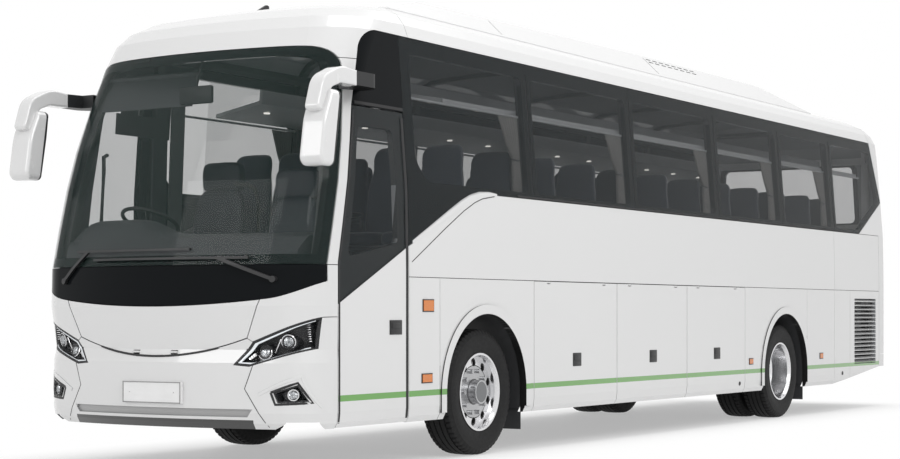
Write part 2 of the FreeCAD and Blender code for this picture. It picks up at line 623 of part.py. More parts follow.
louvre_z = [780.0 + 60.0 * i for i in range(8)]
engine_door = SHELL.common(prism(offset(ENGINE_DOOR, -0.5 * ENGINE_GAP), "front", rear_x))
for z in louvre_z:
    engine_door = engine_door.cut(box(rear_x, (-520.0, 520.0), (z, z + 25.0)))
engine_places = [(ENGINE_PIN[0], s * ENGINE_PIN[1], ENGINE_PIN[2]) for s in (-1, 1)]
engine_door, eyes = hung(engine_door, pin_hinge(75.0, 60.0), engine_places, 90.0)
frame_eyes += eyes
write("engine_door", [engine_door])

# ---- luggage doors ---------------------------------------------------------------------------
HINGE_INSET = 250.0               # from the door's ends
BAY_PIN_Z = BELT - 0.5 * SWING_GAP - HINGE_DOWN
for number, (x1, x0) in enumerate(zip(BAY, BAY[1:]), 1):
    places = [(x, HALF - HINGE_IN, BAY_PIN_Z) for x in (x0 + HINGE_INSET, x1 - HINGE_INSET)]
    door, eyes = hung(side_panel(rect(x0, x1, SILL - WALL, BELT), LEFT, SWING_GAP), pin_hinge(75.0, 30.0),
                      places, 0.0)
    write("luggage_door_left_%d" % number, [door])
    write("luggage_door_right_%d" % number, [mirrored(door)])
    for eye in eyes:
        frame_eyes += both(eye)

# ---- passenger door --------------------------------------------------------------------------
glass_edge = [(DOOR_REAR, DOOR_TOP), (DOOR_REAR, DOOR_BLACK[1][1]), DOOR_BLACK[0],
              (DOOR_FRONT, DOOR_LEAN_Z), (DOOR_TOP_FRONT, DOOR_TOP)]
door = side_panel(DOOR_OUTLINE, LEFT, SWING_GAP)
rebate = OUTER.cut(FRAME_OUT).common(prism(offset(glass_edge, -0.5 * SWING_GAP + BOND), "side", LEFT))
door = door.cut(rebate).cut(prism(DOOR_WINDOW, "side", LEFT))
door_pane = GLAZING.common(prism(offset(glass_edge, -0.5 * SWING_GAP), "side", LEFT))
write("door_glass", [door_pane])

HANDLE_X = (4711.0, 4867.0)
HANDLE_Z = (946.0, 1051.0)
HANDLE_PROUD = 4.0
handle = box(HANDLE_X, (HALF - 0.5 * WALL, HALF + HANDLE_PROUD), HANDLE_Z)
POST = (5385.0, 1140.0)           # upright post that carries the door
HANG = (4935.0, 1120.0)           # where the arms hold the leaf
ARM_Z = (760.0, 1330.0)
ARM_T = 40.0
POST_R = 28.0
PIN_R = 12.0
PIN_PLAY = 0.1
STEP_RISE = 275.0
POST_PIN_R = 12.0
post_foot = PLATFORM - 2 * STEP_RISE
ARM_EYE_R = 26.0
DOOR_BRACKET = 60.0
hangers = []
for z in ARM_Z:
    pin = rod((HANG[0], HANG[1], z - ARM_T), (HANG[0], HANG[1], z + ARM_T), PIN_R)
    top = box((HANG[0] - 0.5 * DOOR_BRACKET, HANG[0] + 0.5 * DOOR_BRACKET),
              (HANG[1] - 1.5 * PIN_R, HALF - WALL + 1.0), (z + 0.5 * ARM_T + 3.0, z + ARM_T))
    hangers += [pin, top, top.mirror(V(0, 0, z), V(0, 0, 1))]
write("door_leaf", [door.fuse([handle] + hangers)])
arms = [rod((POST[0], POST[1], post_foot + SEAT_FIT), (POST[0], POST[1], ARM_Z[1] + 60.0), POST_R),
        rod((POST[0], POST[1], post_foot - 25.0), (POST[0], POST[1], post_foot + 1.0), POST_PIN_R)]
for z in ARM_Z:
    turn = degrees(atan2(HANG[1] - POST[1], HANG[0] - POST[0]))
    length = hypot(HANG[0] - POST[0], HANG[1] - POST[1])
    bar = box((0, length), (-0.4 * ARM_T, 0.4 * ARM_T), (-0.5 * ARM_T, 0.5 * ARM_T))
    bar.rotate(V(0, 0, 0), V(0, 0, 1), turn)
    bar.translate(V(POST[0], POST[1], z))
    eye = rod((HANG[0], HANG[1], z - 0.5 * ARM_T), (HANG[0], HANG[1], z + 0.5 * ARM_T), ARM_EYE_R)
    bore = rod((HANG[0], HANG[1], z - ARM_T), (HANG[0], HANG[1], z + ARM_T), PIN_R + PIN_PLAY)
    arms.append(bar.fuse(eye).cut(bore))
write("door_arm", [fuse(arms)])

# ---- wheels ----------------------------------------------------------------------------------
SIDEWALL = 34.0                   # how far the tread's edge stands in from the sidewall's bulge
BEAD_R = RIM_R - 14.0


def revolve_y(points, axle, middle):
    """Profile of (across, radius) points turned about an axle that lies across the bus."""
    wire = Part.makePolygon([V(0, a, r) for a, r in points + points[:1]])
    solid = Part.Face(wire).revolve(V(0, 0, 0), V(0, 1, 0), 360)
    solid.translate(V(axle, middle, TYRE_R))
    return solid


def tyre(axle, middle):
    w = 0.5 * TYRE_W
    half = [(w - SIDEWALL, TYRE_R), (w - 8.0, TYRE_R - 26.0), (w, 0.5 * (TYRE_R + RIM_R)),
            (w - 22.0, RIM_R + 4.0), (0.5 * RIM_W - 14.0, BEAD_R + 1.0)]
    points = half + [(-a, r) for a, r in reversed(half)]
    return revolve_y(points, axle, middle)


def rim_barrel(axle, middle):
    """Rim with flanges, open through the middle."""
    w = 0.5 * RIM_W
    t = 9.0
    points = [(-w, RIM_R), (t - w, RIM_R), (t - w, BEAD_R), (w - t, BEAD_R), (w - t, RIM_R), (w, RIM_R),
              (w, RIM_R - 16.0), (w - 30.0, BEAD_R - t - 6.0), (30.0 - w, BEAD_R - t - 6.0),
              (-w, RIM_R - 16.0)]
    return revolve_y(points, axle, middle)


HAND_HOLES = 10
HAND_HOLE_R = 24.0
HAND_PCD_R = 222.0
BOLTS = 10
BOLT_PCD_R = 167.5
NUT_R = 17.0
NUT_H = 26.0
DISC_T = 22.0
HUB_CAP_R = 92.0
HUB_CAP_H = 70.0


def disc(axle, y, crown_y):
    """Wheel disc: flat bolting face at y, coned to the barrel at crown_y, with hand holes."""
    points = [(y, 0.0), (y, 195.0), (crown_y, BEAD_R - 10.0), (crown_y + DISC_T, BEAD_R - 10.0),
              (y + DISC_T, 205.0), (y + DISC_T, 0.0)]
    solid = revolve_y(points, axle, 0.0)
    for i in range(HAND_HOLES):
        a = 2 * pi * (i + 0.5) / HAND_HOLES
        x, z = axle + HAND_PCD_R * cos(a), TYRE_R + HAND_PCD_R * sin(a)
        solid = solid.cut(rod((x, y - 200.0, z), (x, y + 200.0, z), HAND_HOLE_R))
    return solid


def hub(axle, face_y, cap_h, cap_r):
    pieces = [rod((axle, face_y - DISC_T, TYRE_R), (axle, face_y + cap_h, TYRE_R), cap_r)]
    for i in range(BOLTS):
        a = 2 * pi * i / BOLTS
        x, z = axle + BOLT_PCD_R * cos(a), TYRE_R + BOLT_PCD_R * sin(a)
        pieces.append(rod((x, face_y - 1.0, z), (x, face_y + NUT_H, z), NUT_R))
    return pieces


front_y = WHEEL_OUT - 0.5 * TYRE_W
front_face = WHEEL_OUT - 70.0
front_disc = disc(AXLE_FRONT, front_face - DISC_T, front_face - DISC_T - 10.0)
front_rim = fuse([rim_barrel(AXLE_FRONT, front_y), front_disc]
                 + hub(AXLE_FRONT, front_face, HUB_CAP_H, HUB_CAP_R))
rear_outer_y = WHEEL_OUT - 0.5 * TYRE_W
rear_inner_y = rear_outer_y - TWIN_PITCH
rear_face = 0.5 * (rear_outer_y + rear_inner_y)
rear_disc = disc(AXLE_REAR, rear_face - DISC_T, rear_face + 65.0)
inner_disc = disc(AXLE_REAR, rear_face - 2 * DISC_T, rear_face - 2 * DISC_T - 60.0)
rear_rim = fuse([rim_barrel(AXLE_REAR, rear_outer_y), rim_barrel(AXLE_REAR, rear_inner_y), rear_disc,
                 inner_disc] + hub(AXLE_REAR, rear_face, 120.0, 120.0)
                + [rod((AXLE_REAR, rear_face - 3 * DISC_T, TYRE_R), (AXLE_REAR, rear_face, TYRE_R), 120.0)])
front_tyre = tyre(AXLE_FRONT, front_y)
rear_tyres = Part.makeCompound([tyre(AXLE_REAR, rear_outer_y), tyre(AXLE_REAR, rear_inner_y)])
for name, turn in (("left", lambda shape: shape), ("right", mirrored)):
    write("tyre_front_" + name, [turn(front_tyre)])
    write("rim_front_" + name, [turn(front_rim)])
    write("tyre_rear_" + name, [turn(rear_tyres)])
    write("rim_rear_" + name, [turn(rear_rim)])

# ---- axles and knuckles ----------------------------------------------------------------------
SPINDLE_R = 60.0
RUN = 0.3                         # running clearance round a bearing
HUB_BACK = front_face - DISC_T - RUN
KNUCKLE_H = 110.0
BEAM_H = 90.0
BEAM_W = 110.0
BEAM_Z = TYRE_R - 60.0
knuckle = fuse([rod((AXLE_FRONT, KINGPIN_Y - 10.0, TYRE_R), (AXLE_FRONT, HUB_BACK, TYRE_R), SPINDLE_R),
                rod((AXLE_FRONT, HUB_BACK - 110.0, TYRE_R), (AXLE_FRONT, HUB_BACK - 60.0, TYRE_R), 195.0),
                box((AXLE_FRONT - 60.0, AXLE_FRONT + 60.0), (KINGPIN_Y - 20.0, KINGPIN_Y + 60.0),
                    (TYRE_R - KNUCKLE_H, TYRE_R + KNUCKLE_H)),
                rod((AXLE_FRONT, KINGPIN_Y, TYRE_R - KNUCKLE_H), (AXLE_FRONT, KINGPIN_Y, TYRE_R + KNUCKLE_H),
                    48.0)])
eye_room = rod((AXLE_FRONT, KINGPIN_Y, BEAM_Z - 0.5 * BEAM_H - 5.0),
               (AXLE_FRONT, KINGPIN_Y, BEAM_Z + 0.5 * BEAM_H + 5.0), 85.0)
beam_room = box((AXLE_FRONT - 300.0, AXLE_FRONT + 300.0), (KINGPIN_Y - 300.0, KINGPIN_Y),
                (BEAM_Z - 0.5 * BEAM_H - 5.0, BEAM_Z + 0.5 * BEAM_H + 5.0))
kingpin = rod((AXLE_FRONT, KINGPIN_Y, TYRE_R - KNUCKLE_H), (AXLE_FRONT, KINGPIN_Y, TYRE_R + KNUCKLE_H), 25.0)
knuckle = fuse([knuckle.cut(eye_room).cut(beam_room), kingpin])
write("knuckle_left", [knuckle])
write("knuckle_right", [mirrored(knuckle)])

beam = box((AXLE_FRONT - 0.5 * BEAM_W, AXLE_FRONT + 0.5 * BEAM_W), (60.0 - KINGPIN_Y, KINGPIN_Y - 60.0),
           (BEAM_Z - 0.5 * BEAM_H, BEAM_Z + 0.5 * BEAM_H))
eyes = [rod((AXLE_FRONT, s * KINGPIN_Y, BEAM_Z - 0.5 * BEAM_H),
            (AXLE_FRONT, s * KINGPIN_Y, BEAM_Z + 0.5 * BEAM_H), 75.0) for s in (-1, 1)]
pin_holes = [rod((AXLE_FRONT, s * KINGPIN_Y, 0), (AXLE_FRONT, s * KINGPIN_Y, PLATFORM), 25.0 + RUN)
             for s in (-1, 1)]
RAIL_Y = (360.0, 430.0)
RAIL_Z = (600.0, 820.0)
SPRING_R = 110.0
front_axle = beam.fuse(eyes).cut(pin_holes[0]).cut(pin_holes[1])
springs = [rod((AXLE_FRONT, s * 395.0, BEAM_Z + 0.5 * BEAM_H),
               (AXLE_FRONT, s * 395.0, RAIL_Z[0] - SEAT_FIT), 62.0)
           for s in (-1, 1)]
write("front_axle", [fuse([front_axle] + springs)])

DIFF_R = 235.0
tube_end = rear_face - 3 * DISC_T - RUN
rear_axle = fuse([rod((AXLE_REAR, -tube_end, TYRE_R), (AXLE_REAR, tube_end, TYRE_R), 85.0),
                  Part.makeSphere(DIFF_R, V(AXLE_REAR, 0, TYRE_R)),
                  rod((AXLE_REAR, 0, TYRE_R), (AXLE_REAR - 420.0, 0, TYRE_R), 90.0)])
shelves = []
for x in (AXLE_REAR - 430.0, AXLE_REAR + 430.0):
    for s in (-1, 1):
        shelves.append(rod((x, s * 395.0, TYRE_R - 40.0), (x, s * 395.0, RAIL_Z[0] - SEAT_FIT), SPRING_R))
for s in (-1, 1):
    shelves.append(box((AXLE_REAR - 500.0, AXLE_REAR + 500.0), (s * 395.0 - 50.0, s * 395.0 + 50.0),
                       (TYRE_R - 140.0, TYRE_R - 40.0)))
write("rear_axle", [fuse([rear_axle] + shelves)])

# ---- floor, steps, wheel housings, chassis ---------------------------------------------------
SIDE_IN = HALF - WALL - TUBE - 2 * SEAT_FIT
DECK_FRONT = 4140.0
STEP_T = 30.0
STEP1_Y = 830.0
STEP2_Y = 490.0
STEP_X = (DOOR_REAR + 25.0, DOOR_FRONT - 60.0)
DECK_REAR = TAIL + 2 * WALL
step1_z = PLATFORM - 2 * STEP_RISE
step2_z = PLATFORM - STEP_RISE
STEP_SIDE = 10.0                  # side walls of the stairwell
well_x = (STEP_X[0] - STEP_SIDE, STEP_X[1] + STEP_SIDE)
deck = box((DECK_REAR, DECK_FRONT), (-HALF, HALF), (DECK - FLOOR_T, DECK))
platform = box((DECK_FRONT - FLOOR_T, NOSE), (-HALF, HALF), (PLATFORM - FLOOR_T, PLATFORM))
platform = platform.cut(box((well_x[0] - SEAT_FIT, well_x[1] + SEAT_FIT), (STEP2_Y - STEP_T - SEAT_FIT, HALF),
                            (0, DECK)))
front_wall = box((DECK_FRONT - FLOOR_T, DECK_FRONT), (-HALF, HALF), (PLATFORM - FLOOR_T, DECK))
mid_step = box((DECK_FRONT - STEP_T, DECK_FRONT + STEP_RISE), (-260.0, 260.0),
               (PLATFORM - STEP_T, 0.5 * (PLATFORM + DECK)))
steps = [box(STEP_X, (STEP1_Y, HALF), (step1_z - STEP_T, step1_z)),
         box(STEP_X, (STEP1_Y - STEP_T, STEP1_Y), (step1_z - STEP_T, step2_z)),
         box(STEP_X, (STEP2_Y, STEP1_Y), (step2_z - STEP_T, step2_z)),
         box(STEP_X, (STEP2_Y - STEP_T, STEP2_Y), (step2_z - STEP_T, PLATFORM))]
for x in (well_x[0], STEP_X[1]):
    steps.append(box((x, x + STEP_SIDE), (STEP2_Y - STEP_T, HALF), (step1_z - STEP_T, PLATFORM)))
floor = fuse([deck, platform, front_wall, mid_step]).common(LINING)
stairs = fuse(steps).common(LINING)
stairs = stairs.cut(rod((POST[0], POST[1], 0), (POST[0], POST[1], post_foot + 1.0), POST_PIN_R + PIN_PLAY))
write("cabin_floor", [floor, stairs])

HOUSING_T = 6.0
HOUSING_IN = 545.0
HOUSING_OUT = HALF - WALL - SEAT_FIT
FLAP_Y = (925.0, 1215.0)
FLAP_Z = (170.0, TYRE_R)
housings = []
for axle in (AXLE_FRONT, AXLE_REAR):
    outer = rod((axle, HOUSING_IN, TYRE_R), (axle, HOUSING_OUT, TYRE_R), ARCH_R + 2 * HOUSING_T)
    inner = rod((axle, HOUSING_IN + HOUSING_T, TYRE_R), (axle, HOUSING_OUT + 1.0, TYRE_R), ARCH_R + HOUSING_T)
    shell = outer.cut(inner).common(box_over(RAIL_Z[0] + 40.0, BELT))
    legs = outer.cut(inner).common(
        box((TAIL, NOSE), (HOUSING_IN + 40.0, HALF), (SILL + 30.0, BELT)))
    x = axle - ARCH_R - 2 * HOUSING_T
    flap = box((x, x + HOUSING_T), FLAP_Y, FLAP_Z).common(box((TAIL, NOSE), (0, HOUSING_OUT), (0, BELT)))
    housings.append(fuse([shell, legs, flap]).cut(WALLS))
write("wheel_housings", both(housings[0]) + both(housings[1]))

BAY_WALL = 12.0
bay_front, bay_rear = BAY[0] + 20.0, BAY[3] - 20.0
bay_parts = [box((bay_rear, bay_front), (-SIDE_IN, SIDE_IN), (BAY_FLOOR, BAY_FLOOR + 2 * BAY_WALL))]
for x in (bay_rear, BAY[2] - 0.5 * BAY_WALL, BAY[1] - 0.5 * BAY_WALL, bay_front - BAY_WALL):
    bay_parts.append(box((x, x + BAY_WALL), (-SIDE_IN, SIDE_IN), (BAY_FLOOR, DECK - FLOOR_T - SEAT_FIT)))
chassis = [fuse(bay_parts)]
LADDERS = (                       # rails' ends, rear faces of cross members and posts, outriggers' middles
    ((bay_front + SEAT_FIT, 5300.0), (2850.0, 4350.0, 5240.0), (4280.0, 5250.0),
     (bay_front + SEAT_FIT + 25.0, ARCH1_FRONT)),
    ((-5850.0, bay_rear - SEAT_FIT), (-1700.0, -3420.0, -5760.0), (-2250.0, -3400.0, -4800.0, -5700.0),
     (ARCH2_REAR - 45.0, FLAP_REAR, GRILLE_FRONT)),
)
for ends, cross, posts_x, outriggers in LADDERS:
    ladder = [box((x, x + 60.0), (-RAIL_Y[0] - 1.0, RAIL_Y[0] + 1.0), (RAIL_Z[0] + 40.0, RAIL_Z[1] - 40.0))
              for x in cross]
    for s in (-1, 1):
        rail_y = sorted((s * RAIL_Y[0], s * RAIL_Y[1]))
        arm_y = sorted((s * (RAIL_Y[1] - 1.0), s * SIDE_IN))
        ladder.append(box(ends, rail_y, RAIL_Z))
        for x in posts_x:
            top = PLATFORM - FLOOR_T if x > DECK_FRONT else DECK - FLOOR_T
            ladder.append(box((x, x + 50.0), rail_y, (RAIL_Z[1] - 1.0, top - SEAT_FIT)))
        ladder += [box((x - 25.0, x + 25.0), arm_y, (RAIL_Z[1] - 60.0, RAIL_Z[1])) for x in outriggers]
    chassis.append(fuse(ladder))
write("chassis_frame", chassis)

ENGINE_X = (-5620.0, -4300.0)
ENGINE_Z = (490.0, 1150.0)
ENGINE_Y = 325.0
engine = box(ENGINE_X, (-ENGINE_Y, ENGINE_Y), ENGINE_Z)
gearbox = box((ENGINE_X[1] - 1.0, -3560.0), (-190.0, 190.0), (430.0, 800.0))
shaft = rod((-3561.0, 0, TYRE_R), (AXLE_REAR - 420.0 - SEAT_FIT, 0, TYRE_R), 45.0)
mounts = [box((x, x + 90.0), (-RAIL_Y[0] + SEAT_FIT, RAIL_Y[0] - SEAT_FIT), (640.0, 720.0))
          for x in (-5500.0, -4550.0)]
write("powertrain", [fuse([engine, gearbox, shaft] + mounts)])

# ---- body frame: pillars, rails and hoops inside the panels ----------------------------------
frame_zone = ROOM.cut(body(WALL + SEAT_FIT + TUBE))
POSTS = [DOOR_REAR, ARCH1_FRONT, BAY[0], BAY[1], BAY[2], BAY[3], ARCH2_REAR - TUBE, FLAP_REAR, GRILLE_FRONT,
         REAR_SEAM]
HOOPS = [4930.0, CAP_SEAM, ROOF_REAR]
RAILS = [(x0, x1, z - TUBE, z + TUBE) for x0, x1, z in (
    (REAR_SEAM, DOOR_REAR + TUBE, BELT),
    (REAR_SEAM, DOOR_REAR + TUBE, BAND_LOW),
    (REAR_SEAM, DOOR_FRONT, BAND_TOP),
    (DOOR_FRONT + CLEAR, NOSE, 610.0),
    (DOOR_FRONT + CLEAR, NOSE, SCREEN_LOW),
    (TAIL, REAR_SEAM, ENGINE_DOOR[2][1] + 1.5 * TUBE),
    (DOOR_TOP_FRONT, NOSE, SCREEN_TOP),
    (TAIL, REAR_SEAM, REAR_BUMPER_TOP),
    (TAIL, REAR_SEAM, REAR_WINDOW[0][1]),
    (TAIL, REAR_SEAM, REAR_WINDOW[2][1]))]
lattice = [box((x - TUBE, x + TUBE), ACROSS, (BELT - TUBE, ROOF + FAR)) for x in MULLIONS]
lattice += [box((x - TUBE, x + TUBE), ACROSS, (SILL + 1.5 * TUBE, BELT)) for x in POSTS]
lattice += [box((x - TUBE, x + TUBE), ACROSS, (BAND_TOP - TUBE, ROOF + FAR)) for x in HOOPS]
lattice += [box((x0, x1), ACROSS, (z0, z1)) for x0, x1, z0, z1 in RAILS]
lattice.append(box((DOOR_REAR - TUBE, DOOR_REAR + TUBE), ACROSS, (SILL + 1.5 * TUBE, BAND_TOP)))
post_strip = [(DOOR_FRONT, SILL + 1.5 * TUBE), (DOOR_FRONT, DOOR_LEAN_Z), (DOOR_TOP_FRONT, DOOR_TOP),
              POST_TOP, (post_x(SCREEN_TOP), SCREEN_TOP)]
post_strip = [(x + CLEAR, z) for x, z in post_strip] + [(x + 3.5 * TUBE, z) for x, z in reversed(post_strip)]
lattice.append(prism(post_strip, "side", ACROSS))
lattice += [box((TAIL, REAR_SEAM), (y - TUBE, y + TUBE), (REAR_BUMPER_TOP, ROOF)) for y in (-1000.0, 1000.0)]
lattice.append(box((NOSE - 3 * WALL, NOSE), (-1.5 * FLAP_PIN[1], 1.5 * FLAP_PIN[1]), (610.0, FLAP_PIN[2])))
frame = frame_zone.common(fuse(lattice))
swing_zone = ROOM.cut(body(WALL + CLEAR))
bays = offset(rect(BAY[3], BAY[0], SILL - WALL, BELT), CLEAR)
frame = frame.cut(swing_zone.common(prism(bays, "side", ACROSS)))
frame = frame.cut(swing_zone.common(prism(offset(DOOR_OUTLINE, 0.5 * CLEAR), "side", LEFT)))
frame = frame.cut(prism(offset(ENGINE_DOOR, 2 * CLEAR), "front", rear_x))
flap_zone = ROOM.cut(body(WALL + 2.5 * CLEAR))
frame = frame.cut(flap_zone.common(front_cut(flap_outline, -2 * CLEAR)))
for outline in (lamp_outline, FOG_LAMP):
    for hole in both(front_cut(outline, -GAP, (LAMP_X[0] - CLEAR, LAMP_X[1]))):
        frame = frame.cut(hole)
for axle in (AXLE_FRONT, AXLE_REAR):
    for side in (1, -1):
        frame = frame.cut(arch_cut(axle, ARCH_R + 2 * HOUSING_T + SEAT_FIT, side))
frame = frame.cut(prism(offset(TUCK, 0.5 * TUBE), "side", ACROSS))
frame = fuse([frame] + frame_eyes)
bow_z = BAND_TOP + TUBE           # the roof's bows stand on the side frames' top rails
header_x = HOOPS[0] + 2 * TUBE    # and so does the bow over the windscreen
fit = 0.5 * SEAT_FIT
write("body_frame", [frame.common(box((TAIL, REAR_SEAM - fit), ACROSS, (0, ROOF))),
                     frame.common(box((header_x + fit, NOSE), ACROSS, (0, bow_z - fit))),
                     frame.common(box((REAR_SEAM + fit, NOSE), ACROSS, (bow_z + fit, ROOF)))])
for name, width in (("side_frame_left", (0, HALF)), ("side_frame_right", (-HALF, 0))):
    write(name, [frame.common(box((REAR_SEAM + fit, header_x - fit), width, (0, bow_z - fit)))])

# ---- cabin -----------------------------------------------------------------------------------
CURTAIN_T = 45.0
ROWS = 12
ROW_FRONT = 3630.0                # seat back's top edge in the front row
ROW_PITCH = 740.0
AISLE = 500.0
SEAT_W = 440.0
SEAT_SPLIT = 12.0
CUSHION_TOP = DECK + 430.0
CUSHION_T = 110.0
BACK_TOP = 2415.0
BACK_T = 95.0
RECLINE = 130.0
CUSHION_L = 450.0
PEDESTAL = 60.0


def seat_pair(x, base_z):
    """Cushion, two backs and pedestal of a double seat whose back's top edge is at x."""
    y0 = 0.5 * AISLE
    y1 = y0 + 2 * SEAT_W + SEAT_SPLIT
    top = base_z + CUSHION_TOP - DECK
    back_top = base_z + BACK_TOP - DECK
    cushion = box((x + RECLINE + 20.0, x + RECLINE + 20.0 + CUSHION_L), (y0, y1), (top - CUSHION_T, top))
    backs = []
    for y in (y0, y0 + SEAT_W + SEAT_SPLIT):
        backs.append(prism([(x, back_top, 30.0), (x - BACK_T, back_top, 30.0),
                            (x + RECLINE - BACK_T, top - 60.0), (x + RECLINE, top - 60.0)],
                           "side", (y, y + SEAT_W)))
    foot = fuse([box((x + 250.0, x + 250.0 + PEDESTAL), (y0 + 150.0, y1 - 150.0),
                     (base_z + SEAT_FIT, top - CUSHION_T - SEAT_FIT)),
                 box((x + RECLINE - 0.8 * BACK_T, x + 560.0), (y0 + 150.0, y1 - 150.0),
                     (top - CUSHION_T - SEAT_FIT - 35.0, top - CUSHION_T - SEAT_FIT))])
    foot = foot.fuse(box((x + RECLINE - 0.8 * BACK_T, x + RECLINE - 0.2 * BACK_T), (y0 + 150.0, y1 - 150.0),
                         (top - CUSHION_T - 35.0, top - 60.0 - SEAT_FIT))).removeSplitter()
    return cushion, backs, foot


soft = []
feet = []
for row in range(ROWS):
    cushion, backs, foot = seat_pair(ROW_FRONT - row * ROW_PITCH, DECK)
    for piece in [cushion] + backs:
        soft += both(piece)
    feet += both(foot)
write("passenger_seats", soft)
write("seat_frames", feet)

CAB_SEATS = (                     # back's foot, middle across, width, cushion top, back top
    (4300.0, -740.0, 500.0, 1420.0, 2300.0),
    (4640.0, 240.0, 440.0, 1400.0, 2190.0),
)
cab_seats = []
for x, y, width, top, back_top in CAB_SEATS:
    y_span = (y - 0.5 * width, y + 0.5 * width)
    foot_span = (y - 180.0, y + 180.0)
    under = top - 130.0
    cab_seats.append(prism([(x + 110.0, under), (x + 610.0, under), (x + 610.0, top, 40.0), (x + 110.0, top)],
                           "side", y_span))
    cab_seats.append(prism([(x + 105.0, under + 30.0), (x - 15.0, back_top, 40.0),
                            (x - 110.0, back_top, 30.0),
                            (x - 20.0, under + 30.0)], "side", y_span))
    cab_seats.append(fuse([
        box((x + 150.0, x + 560.0), foot_span, (PLATFORM + SEAT_FIT, under - SEAT_FIT)),
        box((x - 10.0, x + 200.0), foot_span, (under - 35.0, under - SEAT_FIT)),
        box((x - 10.0, x + 80.0), foot_span, (under - 35.0, under + 30.0 - SEAT_FIT))]))
write("cab_seats", cab_seats)
DRIVER_Y = CAB_SEATS[0][1]

# dashboard across the cab, steering column, wheel
DASH_LOW = 1180.0
DASH_X = 5330.0
dash_profile = [(DASH_X, DASH_LOW), (NOSE, DASH_LOW), (NOSE, 1440.0), (5780.0, 1470.0),
                (5560.0, 1640.0, 60.0),
                (DASH_X + 40.0, 1600.0, 60.0)]
dash = prism(dash_profile, "side", (-1150.0, 1050.0)).common(LINING)
dash_leg = box((DASH_X + 120.0, 5700.0), (-1000.0, STEP2_Y - 60.0), (PLATFORM + SEAT_FIT, DASH_LOW + 1.0))
dash_leg = dash_leg.common(LINING)
binnacle = prism([(DASH_X - 60.0, 1480.0), (5600.0, 1480.0), (5600.0, 1640.0), (5480.0, 1740.0, 30.0),
                  (DASH_X + 10.0, 1690.0, 30.0)], "side", (DRIVER_Y - 330.0, DRIVER_Y + 330.0)).common(LINING)
WHEEL_AT = V(5130.0, DRIVER_Y, 1790.0)
WHEEL_TILT = 25.0
WHEEL_R = 215.0
WHEEL_RIM_R = 15.0
axis = V(-sin(radians(WHEEL_TILT)), 0, cos(radians(WHEEL_TILT)))
column_top = WHEEL_AT - axis * (70.0 + SEAT_FIT)
column_foot = WHEEL_AT - axis * 620.0
column = rod(tuple(column_foot), tuple(column_top), 45.0)
write("dashboard", [fuse([dash, dash_leg, binnacle, column])])
rim = Part.makeTorus(WHEEL_R, WHEEL_RIM_R)
spokes = [rod((0, 0, -45.0), (WHEEL_R * cos(a), WHEEL_R * sin(a), 0), 12.0)
          for a in (radians(30), radians(150), radians(270))]
wheel = fuse([rim, rod((0, 0, -70.0), (0, 0, -20.0), 50.0)] + spokes)
wheel.rotate(V(0, 0, 0), V(0, 1, 0), -WHEEL_TILT)
wheel.translate(WHEEL_AT)
write("steering_wheel", [wheel])

RACK_X = (-5300.0, 3900.0)
RACK_LOW = 2690.0
rack_profile = [(620.0, 2790.0), (1150.0, RACK_LOW), (1150.0, RACK_LOW + 30.0), (650.0, 2815.0),
                (640.0, 2900.0),
                (612.0, 2900.0)]
rack = prism(rack_profile, "front", RACK_X).common(LINING)
write("luggage_racks", both(rack))

curtain_zone = LINING.cut(body(WALL + TUBE + 2 * SEAT_FIT + CURTAIN_T))
curtains = []
for x in MULLIONS:
    shape = prism([(x - 70.0, PANE_LOW - 20.0), (x + 70.0, PANE_LOW - 20.0), (x + 45.0, 2330.0),
                   (x + 110.0, RACK_LOW), (x - 110.0, RACK_LOW), (x - 45.0, 2330.0)], "side", ACROSS)
    curtains.append(curtain_zone.common(shape))
write("curtains", curtains)

# ---- mirrors, wipers, roof pod, lamps --------------------------------------------------------
PROUD = body(-SEAT_FIT)
MIRROR_SIDE = [(5890.0, 2078.0, 45.0), (5935.0, 2120.0, 60.0), (5890.0, 2400.0, 400.0),
               (5800.0, 2600.0, 60.0),
               (5690.0, 2600.0, 40.0), (5715.0, 2400.0, 300.0), (5775.0, 2078.0, 45.0)]
MIRROR_Y = (1225.0, 1420.0)
MIRROR_FRONT = [(MIRROR_Y[0], 2078.0, 45.0), (MIRROR_Y[1], 2078.0, 45.0), (MIRROR_Y[1], 2600.0, 60.0),
                (MIRROR_Y[0], 2600.0, 60.0)]
MIRROR_EDGE_R = 26.0
ELBOW_EDGE_R = 16.0
ELBOW = [(5455.0, 2757.0), (5640.0, 2770.0, 260.0), (5850.0, 2680.0, 160.0), (5925.0, 2455.0, 30.0),
         (5850.0, 2440.0, 20.0), (5755.0, 2610.0, 90.0), (5640.0, 2650.0, 60.0), (5455.0, 2650.0)]
ELBOW_Y = (1262.0, 1378.0)
MIRROR_ROOT = [(5150.0, 1130.0), (5150.0, 1300.0, 30.0), (5230.0, 1372.0, 60.0), (5456.0, 1372.0),
               (5456.0, 1268.0),
               (5330.0, 1240.0), (5330.0, 1130.0)]


def rounded(outline, y, radius):
    """Solid of a side outline whose edges towards both sides are rounded."""
    solid = prism(outline, "side", y)
    return solid.makeFillet(radius, [edge for edge in solid.Edges if edge.BoundBox.YLength < 1.0])


head = rounded(MIRROR_SIDE, MIRROR_Y, MIRROR_EDGE_R).common(prism(MIRROR_FRONT, "front", (CAP_SEAM, NOSE)))
elbow = rounded(ELBOW, ELBOW_Y, ELBOW_EDGE_R)
root = prism(MIRROR_ROOT, "plan", (2655.0, 2752.0)).cut(PROUD)
write("mirrors", both(fuse([head, elbow, root])))

